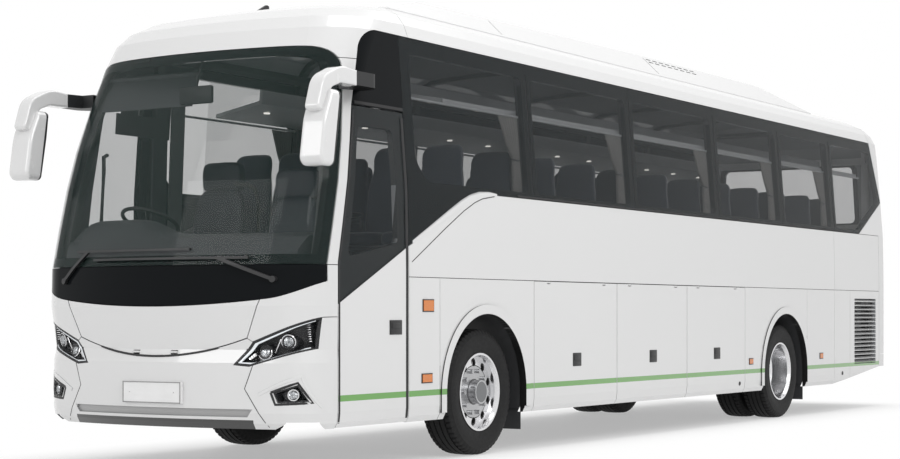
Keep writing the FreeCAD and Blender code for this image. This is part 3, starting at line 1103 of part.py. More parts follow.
BLADE_IN = body(-6.0)
BLADE_OUT = body(-28.0)
blade_zone = BLADE_OUT.cut(BLADE_IN)
WIPER_T = 16.0
wipers = []
for pivot, tip, blade in (((-900.0, 1330.0), (-640.0, 1540.0), (-760.0, 330.0)),
                          ((970.0, 1330.0), (560.0, 1478.0), (-560.0, 790.0))):
    dy, dz = tip[0] - pivot[0], tip[1] - pivot[1]
    n = hypot(dy, dz)
    u = (-dz / n * 12.0, dy / n * 12.0)
    bar = prism([(pivot[0] - u[0], pivot[1] - u[1]), (tip[0] - u[0], tip[1] - u[1]),
                 (tip[0] + u[0], tip[1] + u[1]), (pivot[0] + u[0], pivot[1] + u[1])],
                "front", (DOOR_FRONT, NOSE + FAR))
    strip = box((DOOR_FRONT, NOSE + FAR), blade, (tip[1] - 0.5 * WIPER_T, tip[1] + 0.5 * WIPER_T))
    spindle = rod((DOOR_FRONT, pivot[0], pivot[1]), (NOSE + FAR, pivot[0], pivot[1]), 22.0)
    foot = BLADE_OUT.cut(PROUD).common(spindle)
    wipers.append(fuse([blade_zone.common(bar.fuse(strip)), foot]))
write("wipers", wipers)

POD_T = 25.0
pod_side = [(4350.0, ROOF - 200.0), (4350.0, ROOF - 15.0), (3700.0, ROOF + 120.0, 400.0),
            (1200.0, ROOF + 165.0), (-900.0, ROOF + 200.0), (-3300.0, ROOF + 200.0, 400.0),
            (-4400.0, ROOF - 20.0), (-4400.0, ROOF - 200.0)]
pod_front = [(-880.0, ROOF - 200.0), (-880.0, ROOF - 20.0), (-640.0, ROOF + 210.0, 120.0),
             (640.0, ROOF + 210.0, 120.0),
             (880.0, ROOF - 20.0), (880.0, ROOF - 200.0)]
pod = prism(pod_side, "side", ACROSS).common(prism(pod_front, "front", (TAIL, NOSE)))
pod_in = prism(offset(pod_side, -POD_T), "side", ACROSS)
pod_in = pod_in.common(prism(offset(pod_front, -POD_T), "front", (TAIL, NOSE)))
write("roof_pod", [pod.cut(pod_in).cut(PROUD)])

MARKERS = (((4285.0, 4423.0), (1117.0, 1195.0)), ((4306.0, 4437.0), (594.0, 651.0)),
           ((-1800.0, -1710.0), (590.0, 640.0)), ((-3790.0, -3700.0), (608.0, 660.0)))
MARKER_T = 8.0
signals = []
for x, z in MARKERS:
    signals += both(box(x, (HALF + SEAT_FIT, HALF + MARKER_T), z))
lamp_zone = OUTER.cut(body(30.0))
for z in (TAIL_LAMP, AMBER_LAMP_Z):
    lamp = box(rear_x, (TAIL_LAMP_Y[0] + SEAT_FIT, TAIL_LAMP_Y[1] - SEAT_FIT),
               (z[0] + SEAT_FIT, z[1] - SEAT_FIT))
    signals += both(lamp_zone.common(lamp))
write("signal_lamps", signals)

# blank number plates on flat carriers
PLATE_Y = 260.0
PLATE_Z = ((475.0, 625.0), (500.0, 650.0))
PLATE_HOLE_Y = 200.0
PLATE_HOLE_R = 3.5
plates = []
for x, z in (((NOSE - 60.0, NOSE - 18.0), PLATE_Z[0]), ((TAIL - 12.0, TAIL + 20.0), PLATE_Z[1])):
    plate = box(x, (-PLATE_Y, PLATE_Y), z).cut(PROUD)
    for y in (-PLATE_HOLE_Y, PLATE_HOLE_Y):
        middle_z = 0.5 * (z[0] + z[1])
        plate = plate.cut(rod((x[0] - 1.0, y, middle_z), (x[1] + 1.0, y, middle_z), PLATE_HOLE_R))
    plates.append(plate)
write("number_plates", plates)
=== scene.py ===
"""Looks of the coach bus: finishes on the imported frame, tyres with tread, lamps, trim, seats,
curtains and cab fittings. Metres, in the frame's axes: +X forward, +Y left, +Z up."""
from math import atan2, cos, pi, radians, sin

import bmesh
import bpy
from mathutils import Matrix, Vector
from mathutils.bvhtree import BVHTree


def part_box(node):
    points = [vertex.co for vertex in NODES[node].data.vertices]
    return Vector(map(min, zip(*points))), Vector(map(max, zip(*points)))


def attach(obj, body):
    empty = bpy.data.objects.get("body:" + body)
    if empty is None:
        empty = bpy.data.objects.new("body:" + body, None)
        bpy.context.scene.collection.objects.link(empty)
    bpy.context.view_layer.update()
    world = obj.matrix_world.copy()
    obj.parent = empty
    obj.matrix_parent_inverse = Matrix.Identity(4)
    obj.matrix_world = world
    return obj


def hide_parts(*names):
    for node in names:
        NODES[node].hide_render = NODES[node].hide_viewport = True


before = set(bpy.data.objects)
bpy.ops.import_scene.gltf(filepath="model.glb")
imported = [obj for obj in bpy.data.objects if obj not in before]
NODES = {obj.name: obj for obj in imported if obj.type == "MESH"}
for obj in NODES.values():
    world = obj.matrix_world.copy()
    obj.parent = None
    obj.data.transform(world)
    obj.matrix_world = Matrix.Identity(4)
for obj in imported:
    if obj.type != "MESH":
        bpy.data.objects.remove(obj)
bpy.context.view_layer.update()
SCENE = bpy.context.scene

SIDES = ((1, "left"), (-1, "right"))
AXLE_X = {"front": 3.5, "rear": -2.7}
WHEEL_Z = 0.49
PILLARS = (2.735, 0.865, -1.0, -2.67, -4.206)  # middles of the window pillars, in X


# ---- materials ----
def by_node(operation, swapped=False):
    """Method of Value that works one step out with a math node."""
    def apply(self, other=None):
        pair = (other, self) if swapped else (self, other)
        return self.nodes.math(operation, *pair)
    return apply


class Value:
    """A node's output, worked with like a number; a | b is the larger of two."""

    __add__ = __radd__ = by_node("ADD")
    __sub__, __rsub__ = by_node("SUBTRACT"), by_node("SUBTRACT", swapped=True)
    __mul__, __pow__, __abs__ = by_node("MULTIPLY"), by_node("POWER"), by_node("ABSOLUTE")
    __gt__, __lt__, __or__ = by_node("GREATER_THAN"), by_node("LESS_THAN"), by_node("MAXIMUM")

    def __init__(self, nodes, output):
        self.nodes, self.output = nodes, output

    def between(self, low, high):
        """1 where the value is over low and under high."""
        return (self > low) * (self < high)

    def ramp(self, low, high):
        """Stretched from 0..1 to low..high."""
        return self.nodes.value("ShaderNodeMapRange", 0, {"Value": self, "To Min": low, "To Max": high})


def hypot(a, b):
    return a.nodes.math("SQRT", a ** 2.0 + b ** 2.0)


class Nodes:
    """A node tree with short calls for what goes into it."""

    def __init__(self, tree):
        self.tree = tree

    def feed(self, socket, value):
        """Sets a socket to a number or a colour, or links an output to it."""
        value = value.output if isinstance(value, Value) else value
        if isinstance(value, bpy.types.NodeSocket):
            self.tree.links.new(value, socket)
        else:
            socket.default_value = (*value, 1.0) if socket.type == "RGBA" else value

    def node(self, kind, inputs=None, **settings):
        made = self.tree.nodes.new(kind)
        for key, value in settings.items():
            setattr(made, key, value)
        for socket, value in (inputs or {}).items():
            self.feed(made.inputs[socket], value)
        return made

    def value(self, kind, output, inputs=None, **settings):
        return Value(self, self.node(kind, inputs, **settings).outputs[output])

    def math(self, operation, a, b=None, clamp=False):
        inputs = {0: a} if b is None else {0: a, 1: b}
        return self.value("ShaderNodeMath", 0, inputs, operation=operation, use_clamp=clamp)

    def seen_directly(self):
        """1 for what the camera sees, also through glass or in a mirror."""
        paths = self.node("ShaderNodeLightPath").outputs
        bent = self.math("MAXIMUM", paths["Is Transmission Ray"], paths["Is Glossy Ray"])
        return self.math("MAXIMUM", paths["Is Camera Ray"], bent)


class Shader(Nodes):
    """One Principled material."""

    def __init__(self, name, color=(0.5, 0.5, 0.5), **sockets):
        self.material = bpy.data.materials.new(name)
        self.material.use_nodes = True
        super().__init__(self.material.node_tree)
        self.bsdf = self.tree.nodes["Principled BSDF"]
        self.set(Base_Color=color, **sockets)
        self.point = self.node("ShaderNodeTexCoord").outputs["Object"]

    def set(self, **sockets):
        for socket, value in sockets.items():
            self.feed(self.bsdf.inputs[socket.replace("_", " ")], value)

    def axes(self):
        split = self.node("ShaderNodeSeparateXYZ", {0: self.point})
        return [Value(self, output) for output in split.outputs]

    def noise(self, scale, detail=3.0, stretch=(1, 1, 1)):
        place = self.node("ShaderNodeMapping", {"Scale": stretch, "Vector": self.point})
        inputs = {"Scale": scale, "Detail": detail, "Roughness": 0.5, "Vector": place.outputs[0]}
        return self.value("ShaderNodeTexNoise", "Fac", inputs)

    def cells(self, scale):
        """Distance from the middle of small cells."""
        return self.value("ShaderNodeTexVoronoi", "Distance", {"Scale": scale, "Vector": self.point})

    def mix(self, factor, a, b):
        """Colour a where factor is 0 and b where it is 1."""
        return self.node("ShaderNodeMix", {0: factor, 6: a, 7: b}, data_type="RGBA").outputs[2]

    def bump(self, height, distance):
        inputs = {"Strength": 1.0, "Distance": distance, "Height": height}
        self.set(Normal=self.node("ShaderNodeBump", inputs).outputs[0])


WHITE = (0.655, 0.655, 0.655)
GREEN = (0.085, 0.3, 0.03)
LINING = (0.34, 0.35, 0.36)
LIP_GREY = (0.3, 0.3, 0.3)
BLACK = (0.006, 0.007, 0.008)
# ARCH_BLACK: painted shade inside the wheel arches, and the black of the bumper's foot
ARCH_BLACK = (0.012, 0.012, 0.012)

DUST_TOP = 0.75  # the road dust fades out here
FLANK_Y = 1.2  # the side panels are beyond this
STRIPE_X, STRIPE_Z = (-5.665, 5.503), (0.494, 0.537)  # green stripe low on the side
ARCH_LIP = 0.72  # within this of an axle the edges facing the wheel are painted black as shade inside the arch
LIP_Y, LIP_Z = (0.76, 0.8), (0.392, 0.446)  # recess along the bumper's foot
LIP_X, FOOT_X, FOOT_DROP = 5.8, 5.7, 0.02  # where it starts, and the black foot under it
DOOR_EDGE = ((5.505, 1.16), (4.611, 1.586))  # diagonal where the door turns from white to black
HANDLE_X, HANDLE_Z, HANDLE_Y = (4.71, 4.868), (0.945, 1.052), 1.2502  # door handle's recess
CORE_X, CORE_Z = (-5.2, 4.9), (0.9, 2.7)  # a face that looks at this part of the middle is inside


def inward(shader):
    """1 on faces that look into the bus."""
    x, _, z = shader.axes()
    core = shader.node("ShaderNodeCombineXYZ", {0: shader.math("MINIMUM", x | CORE_X[0], CORE_X[1]),
                                                2: shader.math("MINIMUM", z | CORE_Z[0], CORE_Z[1])})
    pair = {0: shader.point, 1: core.outputs[0]}
    away = shader.node("ShaderNodeVectorMath", pair, operation="SUBTRACT").outputs[0]
    pair = {0: away, 1: shader.node("ShaderNodeNewGeometry").outputs["True Normal"]}
    return shader.value("ShaderNodeVectorMath", "Value", pair, operation="DOT_PRODUCT") < 0.0


def painted(name, black_door=False):
    """White coachwork: clear coat, faint road dust low down, the green stripe, grey lining inside,
    painted shade on the wheel arches' inner edges.
    """
    shader = Shader(name, WHITE, Roughness=0.32, Coat_Weight=1.0, Coat_Roughness=0.04)
    x, y, z = shader.axes()
    dust = shader.noise(2.2, 5.0).ramp(0.0, 1.0) * shader.math("SUBTRACT", DUST_TOP, z, clamp=True)
    color = shader.mix(dust * 0.1, WHITE, (0.42, 0.4, 0.37))
    normal = shader.node("ShaderNodeNewGeometry").outputs["Normal"]
    across = abs(shader.value("ShaderNodeSeparateXYZ", "Y", {0: normal}))
    lip_end = (z - LIP_Z[0]) * ((LIP_Y[1] - LIP_Y[0]) / (LIP_Z[1] - LIP_Z[0])) + LIP_Y[0]
    color = shader.mix(z.between(*LIP_Z) * (x > LIP_X) * (abs(y) < lip_end), color, LIP_GREY)
    foot = (z < LIP_Z[0] - FOOT_DROP) * (x > FOOT_X) * (abs(y) < LIP_Y[1])
    color = shader.mix(foot, color, ARCH_BLACK)
    side = (abs(y) > FLANK_Y) * (across > 0.5)
    color = shader.mix(z.between(*STRIPE_Z) * x.between(*STRIPE_X) * side, color, GREEN)
    if black_door:
        (x0, z0), (x1, z1) = DOOR_EDGE
        slope = (z1 - z0) / (x1 - x0)
        upper = z > x * slope + (z0 - x0 * slope)
        color = shader.mix(upper, color, BLACK)
        shader.set(Coat_Weight=1.0 - upper)
        handle = x.between(*HANDLE_X) * z.between(*HANDLE_Z) * (y > HANDLE_Y)
        color = shader.mix(handle, color, BLACK)
    inside = inward(shader)
    color = shader.mix(inside, color, LINING)
    # painted shade: edges facing the wheel inside each arch are made black
    for axle in AXLE_X.values():
        edge = (hypot(x - axle, z - WHEEL_Z) < ARCH_LIP) * (across < 0.6)
        color = shader.mix(edge, color, ARCH_BLACK)
    shader.set(Base_Color=color, Roughness=inside * 0.35 + shader.noise(14.0, 4.0).ramp(0.26, 0.34))
    return shader.material


def gloss_black(name):
    shader = Shader(name, BLACK, Roughness=0.1, IOR=1.14)
    shader.set(Base_Color=shader.mix(inward(shader), BLACK, (0.06, 0.06, 0.065)),
               Roughness=shader.noise(9.0).ramp(0.07, 0.14))
    return shader.material


def plastic(name, color, rough=0.5, grain=0.0004, scale=900.0):
    """Moulded plastic with a fine grain and slight wear."""
    shader = Shader(name, color)
    pale = tuple(min(1.0, c * 1.25 + 0.01) for c in color)
    shader.set(Base_Color=shader.mix(shader.noise(7.0, 4.0).ramp(0.0, 0.6), color, pale),
               Roughness=shader.noise(30.0).ramp(rough - 0.06, rough + 0.08))
    shader.bump(shader.noise(scale, 2.0), grain)
    return shader.material


def metal(name, color, rough):
    shader = Shader(name, color, Metallic=1.0)
    dull = tuple(c * 0.8 for c in color)
    shader.set(Base_Color=shader.mix(shader.noise(6.0, 5.0), dull, color),
               Roughness=shader.noise(60.0).ramp(rough * 0.7, rough * 1.3))
    return shader.material


HOLES, HOLE_RING, HOLE_EDGE = 10, 0.232, 0.032  # hand holes: count, circle of middles, painted shade round each
FACE_R, CAP_R = 0.206, 0.08  # edges of the bolting face and of the cap
GROOVES = ((0.0935, 0.1), (0.201, 0.2075))  # radii of the grooves, painted dark as shade


def wheel_alloy(name, axle):
    """Polished wheel: greyer bolting face and cap, painted shade in the fine grooves between them and in
    the hand holes.
    """
    shader = Shader(name, (0.6, 0.6, 0.61))
    x, _, z = shader.axes()
    out, up = x - axle, z - WHEEL_Z
    radius = hypot(out, up)
    turn = shader.math("ARCTAN2", up, out) + 2 * pi
    fold = shader.math("MODULO", turn, 2 * pi / HOLES) - pi / HOLES
    off = hypot(radius * shader.math("COSINE", fold) - HOLE_RING, radius * shader.math("SINE", fold))
    face = shader.mix(shader.noise(6.0, 5.0), (0.4, 0.405, 0.41), (0.52, 0.52, 0.53))
    color = shader.mix(radius > FACE_R, face, (0.72, 0.72, 0.73))
    color = shader.mix(radius < CAP_R, color, (0.2, 0.205, 0.21))
    # painted shade: grooves and hand holes are made near-black, not metallic and rougher
    dark = radius.between(*GROOVES[0]) | radius.between(*GROOVES[1]) | (off < HOLE_EDGE)
    shader.set(Base_Color=shader.mix(dark, color, (0.01, 0.01, 0.01)), Metallic=1.0 - dark,
               Roughness=shader.noise(60.0).ramp(0.2, 0.3) + dark * 0.4)
    return shader.material


CLEAR_ALPHA = 0.06


def glass(name, tint, alpha, edge_alpha, clear_from=None):
    """Thin pane: see-through straight on, more of a mirror at a glancing angle. On the right side
    ahead of clear_from it is nearly clear."""
    shader = Shader(name, tint, Roughness=0.02, IOR=1.5, Specular_IOR_Level=0.3)
    streaks = shader.noise(3.0, 3.0, (1, 1, 0.3)).ramp(-0.015, 0.015)
    grazing = shader.value("ShaderNodeLayerWeight", "Fresnel", {"Blend": 0.35}) * edge_alpha
    body = alpha
    if clear_from is not None:
        x, y, _ = shader.axes()
        body = (x > clear_from) * (y < 0.0) * (CLEAR_ALPHA - alpha) + alpha
    shader.set(Alpha=shader.math("ADD", grazing + body, streaks, clamp=True),
               Roughness=shader.noise(5.0).ramp(0.015, 0.04))
    return shader.material


def woven(name, color, pale, pitch=0.0016):
    """Cloth: two crossed thread waves, mottled."""
    shader = Shader(name, color, Roughness=0.9, Sheen_Weight=0.4, Sheen_Roughness=0.5)
    waves = []
    for turn in (0.0, radians(90)):
        lie = (radians(35), 0.0, turn)
        place = shader.node("ShaderNodeMapping", {"Rotation": lie, "Vector": shader.point})
        inputs = {"Scale": 0.5 / pitch / pi, "Vector": place.outputs[0]}
        waves.append(shader.value("ShaderNodeTexWave", "Fac", inputs))
    weave = waves[0] | waves[1]
    shader.set(Base_Color=shader.mix(weave * shader.noise(25.0, 4.0).ramp(0.5, 1.0), color, pale))
    shader.bump(weave, 0.0004)
    return shader.material


def glowing(name, color, strength):
    """Lit lamp or light guide with a slight unevenness."""
    shader = Shader(name, color, Roughness=0.2, Emission_Strength=strength)
    shader.set(Emission_Color=shader.mix(shader.noise(60.0), tuple(0.8 * c for c in color), color))
    return shader.material


def faceted(name, color):
    """Bright reflector of small pressed facets."""
    shader = Shader(name, color, Metallic=0.85, Roughness=0.12)
    cells = shader.cells(70.0)
    shader.set(Base_Color=shader.mix(cells.ramp(0.0, 0.9), color, (0.12, 0.13, 0.14)))
    shader.bump(cells, 0.004)
    return shader.material


def tyre_rubber():
    shader = Shader("tyre_rubber", (0.012, 0.012, 0.012), Specular_IOR_Level=0.25)
    dust = shader.noise(11.0, 6.0).ramp(0.0, 0.7)
    shader.set(Base_Color=shader.mix(dust, (0.008, 0.008, 0.009), (0.018, 0.018, 0.017)),
               Roughness=shader.noise(40.0).ramp(0.55, 0.8))
    shader.bump(shader.noise(420.0), 0.0006)
    return shader.material


TAIL_X, TAIL_Z = -5.5, 0.8  # lamps behind and above these are tail lamps
TURN_LAMP_Z, TURN_LAMP_HALF = 1.28, 0.07  # the amber one among them


def signal_lamp():
    """Amber side markers, red and amber tail lamps."""
    amber, red = (0.6, 0.155, 0.008), (0.42, 0.008, 0.008)
    shader = Shader("signal_lens", amber, Coat_Weight=0.4, Coat_Roughness=0.03)
    x, _, z = shader.axes()
    brake = (x < TAIL_X) * (z > TAIL_Z) * (abs(z - TURN_LAMP_Z) > TURN_LAMP_HALF)
    cells = shader.cells(95.0)
    color = shader.mix(brake, amber, red)
    shader.set(Base_Color=shader.mix(cells.ramp(0.0, 0.4), color, (0.7, 0.25, 0.05)),
               Roughness=shader.noise(20.0).ramp(0.08, 0.16))
    shader.bump(cells, 0.0012)
    return shader.material


# hinge eyes and rails in the white skin's gaps: over the luggage doors, under the front flap, at the rear
BESIDE_Y, BESIDE_Z = 1.205, (1.25, 1.46)
AHEAD_X, AHEAD_Z = 5.86, (0.7, 1.0)
BEHIND_X, BEHIND_Z = -5.86, 1.2


def frame_coating():
    """Dark frame paint, white where a part stands in the white skin's gaps."""
    shader = Shader("frame_coating", (0.03, 0.031, 0.033))
    x, y, z = shader.axes()
    beside = (abs(y) > BESIDE_Y) * z.between(*BESIDE_Z)
    ahead = (x > AHEAD_X) * z.between(*AHEAD_Z)
    behind = (x < BEHIND_X) * (z > BEHIND_Z)
    dark = shader.mix(shader.noise(7.0, 4.0), (0.026, 0.027, 0.029), (0.045, 0.046, 0.048))
    shader.set(Base_Color=shader.mix(beside | ahead | behind, dark, WHITE),
               Roughness=shader.noise(30.0).ramp(0.38, 0.55))
    shader.bump(shader.noise(160.0, 2.0), 0.0004)
    return shader.material


MIRROR_SPLIT = (5.8, 2.1, -0.155)  # plane between cover and back shell: X at Z, and its lean
MIRROR_ROOT_X, MIRROR_COVER_Z = 5.457, 2.603  # the arm's root is behind, the whole white cover above


def mirror_finish():
    """White covers; black root and back shell."""
    shader = Shader("mirror_shell", WHITE, Coat_Weight=1.0, Coat_Roughness=0.04)
    x, _, z = shader.axes()
    split = (z - MIRROR_SPLIT[1]) * MIRROR_SPLIT[2] + MIRROR_SPLIT[0]
    black = (x < MIRROR_ROOT_X) | ((x < split) * (z < MIRROR_COVER_Z))
    shader.set(Base_Color=shader.mix(black, WHITE, BLACK), Coat_Weight=1.0 - black,
               Roughness=shader.noise(12.0).ramp(0.22, 0.3) + black * 0.2)
    return shader.material


PAINT = painted("white_coachwork")
DOOR_PAINT = painted("door_coachwork", black_door=True)
GLOSS_BLACK = gloss_black("gloss_black")
FRAME_PAINT = frame_coating()
RUBBER = plastic("black_rubber", (0.014, 0.014, 0.015), 0.7)
TRIM = plastic("black_trim", (0.009, 0.009, 0.01), 0.45)
CAB_PLASTIC = plastic("cab_plastic", (0.055, 0.057, 0.062), 0.6, 0.0006, 500.0)
PALE_PLASTIC = plastic("pale_plastic", (0.42, 0.43, 0.44), 0.55)
CHASSIS = plastic("chassis_paint", (0.03, 0.031, 0.033), 0.45, 0.0008, 160.0)
IRON = metal("cast_iron", (0.2, 0.2, 0.2), 0.6)
STEEL = metal("bright_steel", (0.7, 0.7, 0.71), 0.22)
CHROME = metal("chrome", (0.9, 0.9, 0.91), 0.06)
MIRROR_SHELL = mirror_finish()
MIRROR_GLASS = metal("mirror_glass", (0.62, 0.65, 0.68), 0.22)
SCREEN_GLASS = glass("windscreen_glass", (0.034, 0.056, 0.051), 0.16, 0.12)
SIDE_GLASS = glass("tinted_glass", (0.014, 0.021, 0.023), 0.175, 0.2, clear_from=3.9)
LENS_GLASS = glass("lamp_cover", (0.05, 0.055, 0.06), 0.03, 0.12)
GUIDE_LIGHT = glowing("light_guide", (0.8, 0.83, 0.86), 0.35)
CABIN_LIGHT = glowing("cabin_light", (1.0, 0.97, 0.9), 1.0)
REFLECTOR = faceted("lamp_facets", (0.8, 0.82, 0.84))
SIGNAL = signal_lamp()
RUBBER_TYRE = tyre_rubber()
FLOORING = plastic("floor_vinyl", (0.1, 0.11, 0.125), 0.65, 0.0008, 220.0)
SEAT_CLOTH = woven("seat_cloth", (0.012, 0.016, 0.026), (0.032, 0.04, 0.06))
SEAT_LEATHER = plastic("seat_leather", (0.02, 0.024, 0.034), 0.5, 0.001, 260.0)
CURTAIN_CLOTH = woven("curtain_cloth", (0.16, 0.155, 0.15), (0.3, 0.29, 0.28), 0.0022)
PLATE = plastic("blank_plate", (0.7, 0.7, 0.7), 0.4, 0.0001)
PLATE_EDGE = plastic("plate_edge", (0.22, 0.22, 0.22), 0.5)
PILLAR_LINING = plastic("pillar_lining", (0.2, 0.21, 0.21), 0.6)

FINISH = {name: finish for finish, names in (
    (PAINT, "roof_shell front_shell front_flap front_bumper arch_panels side_panels rear_shell"),
    (PAINT, "engine_door roof_pod"), (DOOR_PAINT, "door_leaf"), (SCREEN_GLASS, "windscreen"),
    (GLOSS_BLACK, "windscreen_frame window_band"), (SIDE_GLASS, "cabin_glass door_glass"),
    (LENS_GLASS, "lamp_lenses"), (SIGNAL, "signal_lamps"), (MIRROR_SHELL, "mirrors"),
    (TRIM, "front_lamps wipers steering_wheel door_arm"),
    (CHASSIS, "wheel_housings chassis_frame front_axle rear_axle knuckle_left knuckle_right"),
    (FRAME_PAINT, "body_frame side_frame_left side_frame_right"), (IRON, "powertrain"),
    (FLOORING, "cabin_floor"), (PALE_PLASTIC, "luggage_racks"), (CAB_PLASTIC, "dashboard"),
    (STEEL, "seat_frames"), (SEAT_CLOTH, "passenger_seats"), (SEAT_LEATHER, "cab_seats"),
    (CURTAIN_CLOTH, "curtains"), (PLATE, "number_plates")) for name in names.split()}
ALLOY = {end: wheel_alloy("alloy_" + end, x) for end, x in AXLE_X.items()}
for name, node in NODES.items():
    if name.startswith("luggage_door"):
        finish = PAINT
    elif name.startswith("tyre"):
        finish = RUBBER_TYRE
    elif name.startswith("rim"):
        finish = ALLOY[name.split("_")[1]]
    else:
        finish = FINISH[name]
    node.data.materials.clear()
    node.data.materials.append(finish)


# ---- camera, light, floor ----
def put(name, data):
    """New object in the scene."""
    made = bpy.data.objects.new(name, data)
    SCENE.collection.objects.link(made)
    return made


CAMERA_AT = Vector((16.074, 8.652, 1.0957))
CAMERA_HEADING = radians(211.61)
camera_data = bpy.data.cameras.new("camera")
camera_data.sensor_width = 36.0
camera_data.lens = 75.48
camera_data.shift_y = 0.0936
camera = put("camera", camera_data)
camera.location = CAMERA_AT
camera.rotation_euler = (radians(90), 0.0, CAMERA_HEADING - radians(90))
SCENE.camera = camera
SCENE.view_settings.view_transform = "Standard"


def area_light(name, at, target, size, power):
    data = bpy.data.lights.new(name, "AREA")
    data.shape = "RECTANGLE"
    data.size, data.size_y = size
    data.energy = power
    light = put(name, data)
    light.location = at
    light.rotation_mode = "QUATERNION"
    light.rotation_quaternion = (Vector(target) - Vector(at)).to_track_quat("-Z", "Y")


area_light("key", (9.0, 11.0, 9.0), (0.5, 0.0, 1.2), (9.0, 5.0), 680.0)
area_light("front_fill", (14.0, -3.0, 5.0), (3.0, 0.0, 1.5), (5.0, 4.0), 200.0)
area_light("top", (0.0, 2.0, 11.0), (0.0, 0.0, 1.0), (14.0, 5.0), 520.0)

PURE_WHITE = (1.0, 1.0, 1.0)
WORLD_LIGHT = 0.6  # strength of the sky as a light; it is seen at 1
world = bpy.data.worlds.new("studio")
SCENE.world = world
world.use_nodes = True
sky = Nodes(world.node_tree)
sky.tree.nodes.clear()
soft, white = (sky.node("ShaderNodeBackground", {"Color": PURE_WHITE, "Strength": strength}).outputs[0]
               for strength in (WORLD_LIGHT, 1.0))
blend = sky.node("ShaderNodeMixShader", {0: sky.seen_directly(), 1: soft, 2: white})
sky.node("ShaderNodeOutputWorld", {0: blend.outputs[0]})

FLOOR_PALE, FLOOR_HALF = (0.9, 0.9, 0.9), 90.0
SHADOW_HALF = (5.6, 0.9)  # half length and width of the shadow's core
SHADOW_EDGE, SHADOW_SHARE = 1.2, 0.42  # width of its soft edge, and pure white left in it
ground = Shader("studio_floor", FLOOR_PALE, Roughness=0.6)
ground.set(Base_Color=ground.mix(ground.noise(0.4), FLOOR_PALE, (0.93, 0.93, 0.93)))
x, y, _ = ground.axes()
away = hypot((abs(x) - SHADOW_HALF[0]) | 0.0, (abs(y) - SHADOW_HALF[1]) | 0.0)
fade = {"Value": away, "From Min": 0.0, "From Max": SHADOW_EDGE, "To Min": SHADOW_SHARE, "To Max": 1.0}
pure_share = ground.seen_directly() * ground.value("ShaderNodeMapRange", 0, fade,
                                                   interpolation_type="SMOOTHSTEP")
pure = ground.node("ShaderNodeEmission", {"Color": PURE_WHITE}).outputs[0]
blend = ground.node("ShaderNodeMixShader", {0: pure_share, 1: ground.bsdf.outputs[0], 2: pure})
ground.feed(ground.tree.nodes["Material Output"].inputs[0], blend.outputs[0])
floor_mesh = bpy.data.meshes.new("studio_floor")
corners = [(FLOOR_HALF * a, FLOOR_HALF * b, 0) for a, b in ((-1, -1), (1, -1), (1, 1), (-1, 1))]
floor_mesh.from_pydata(corners, [], [(0, 1, 2, 3)])
floor_mesh.materials.append(ground.material)
floor = put("studio_floor", floor_mesh)


# ---- forms ----
def turns(count):
    """Angles of equal steps round a circle."""
    return [2 * pi * k / count for k in range(count)]


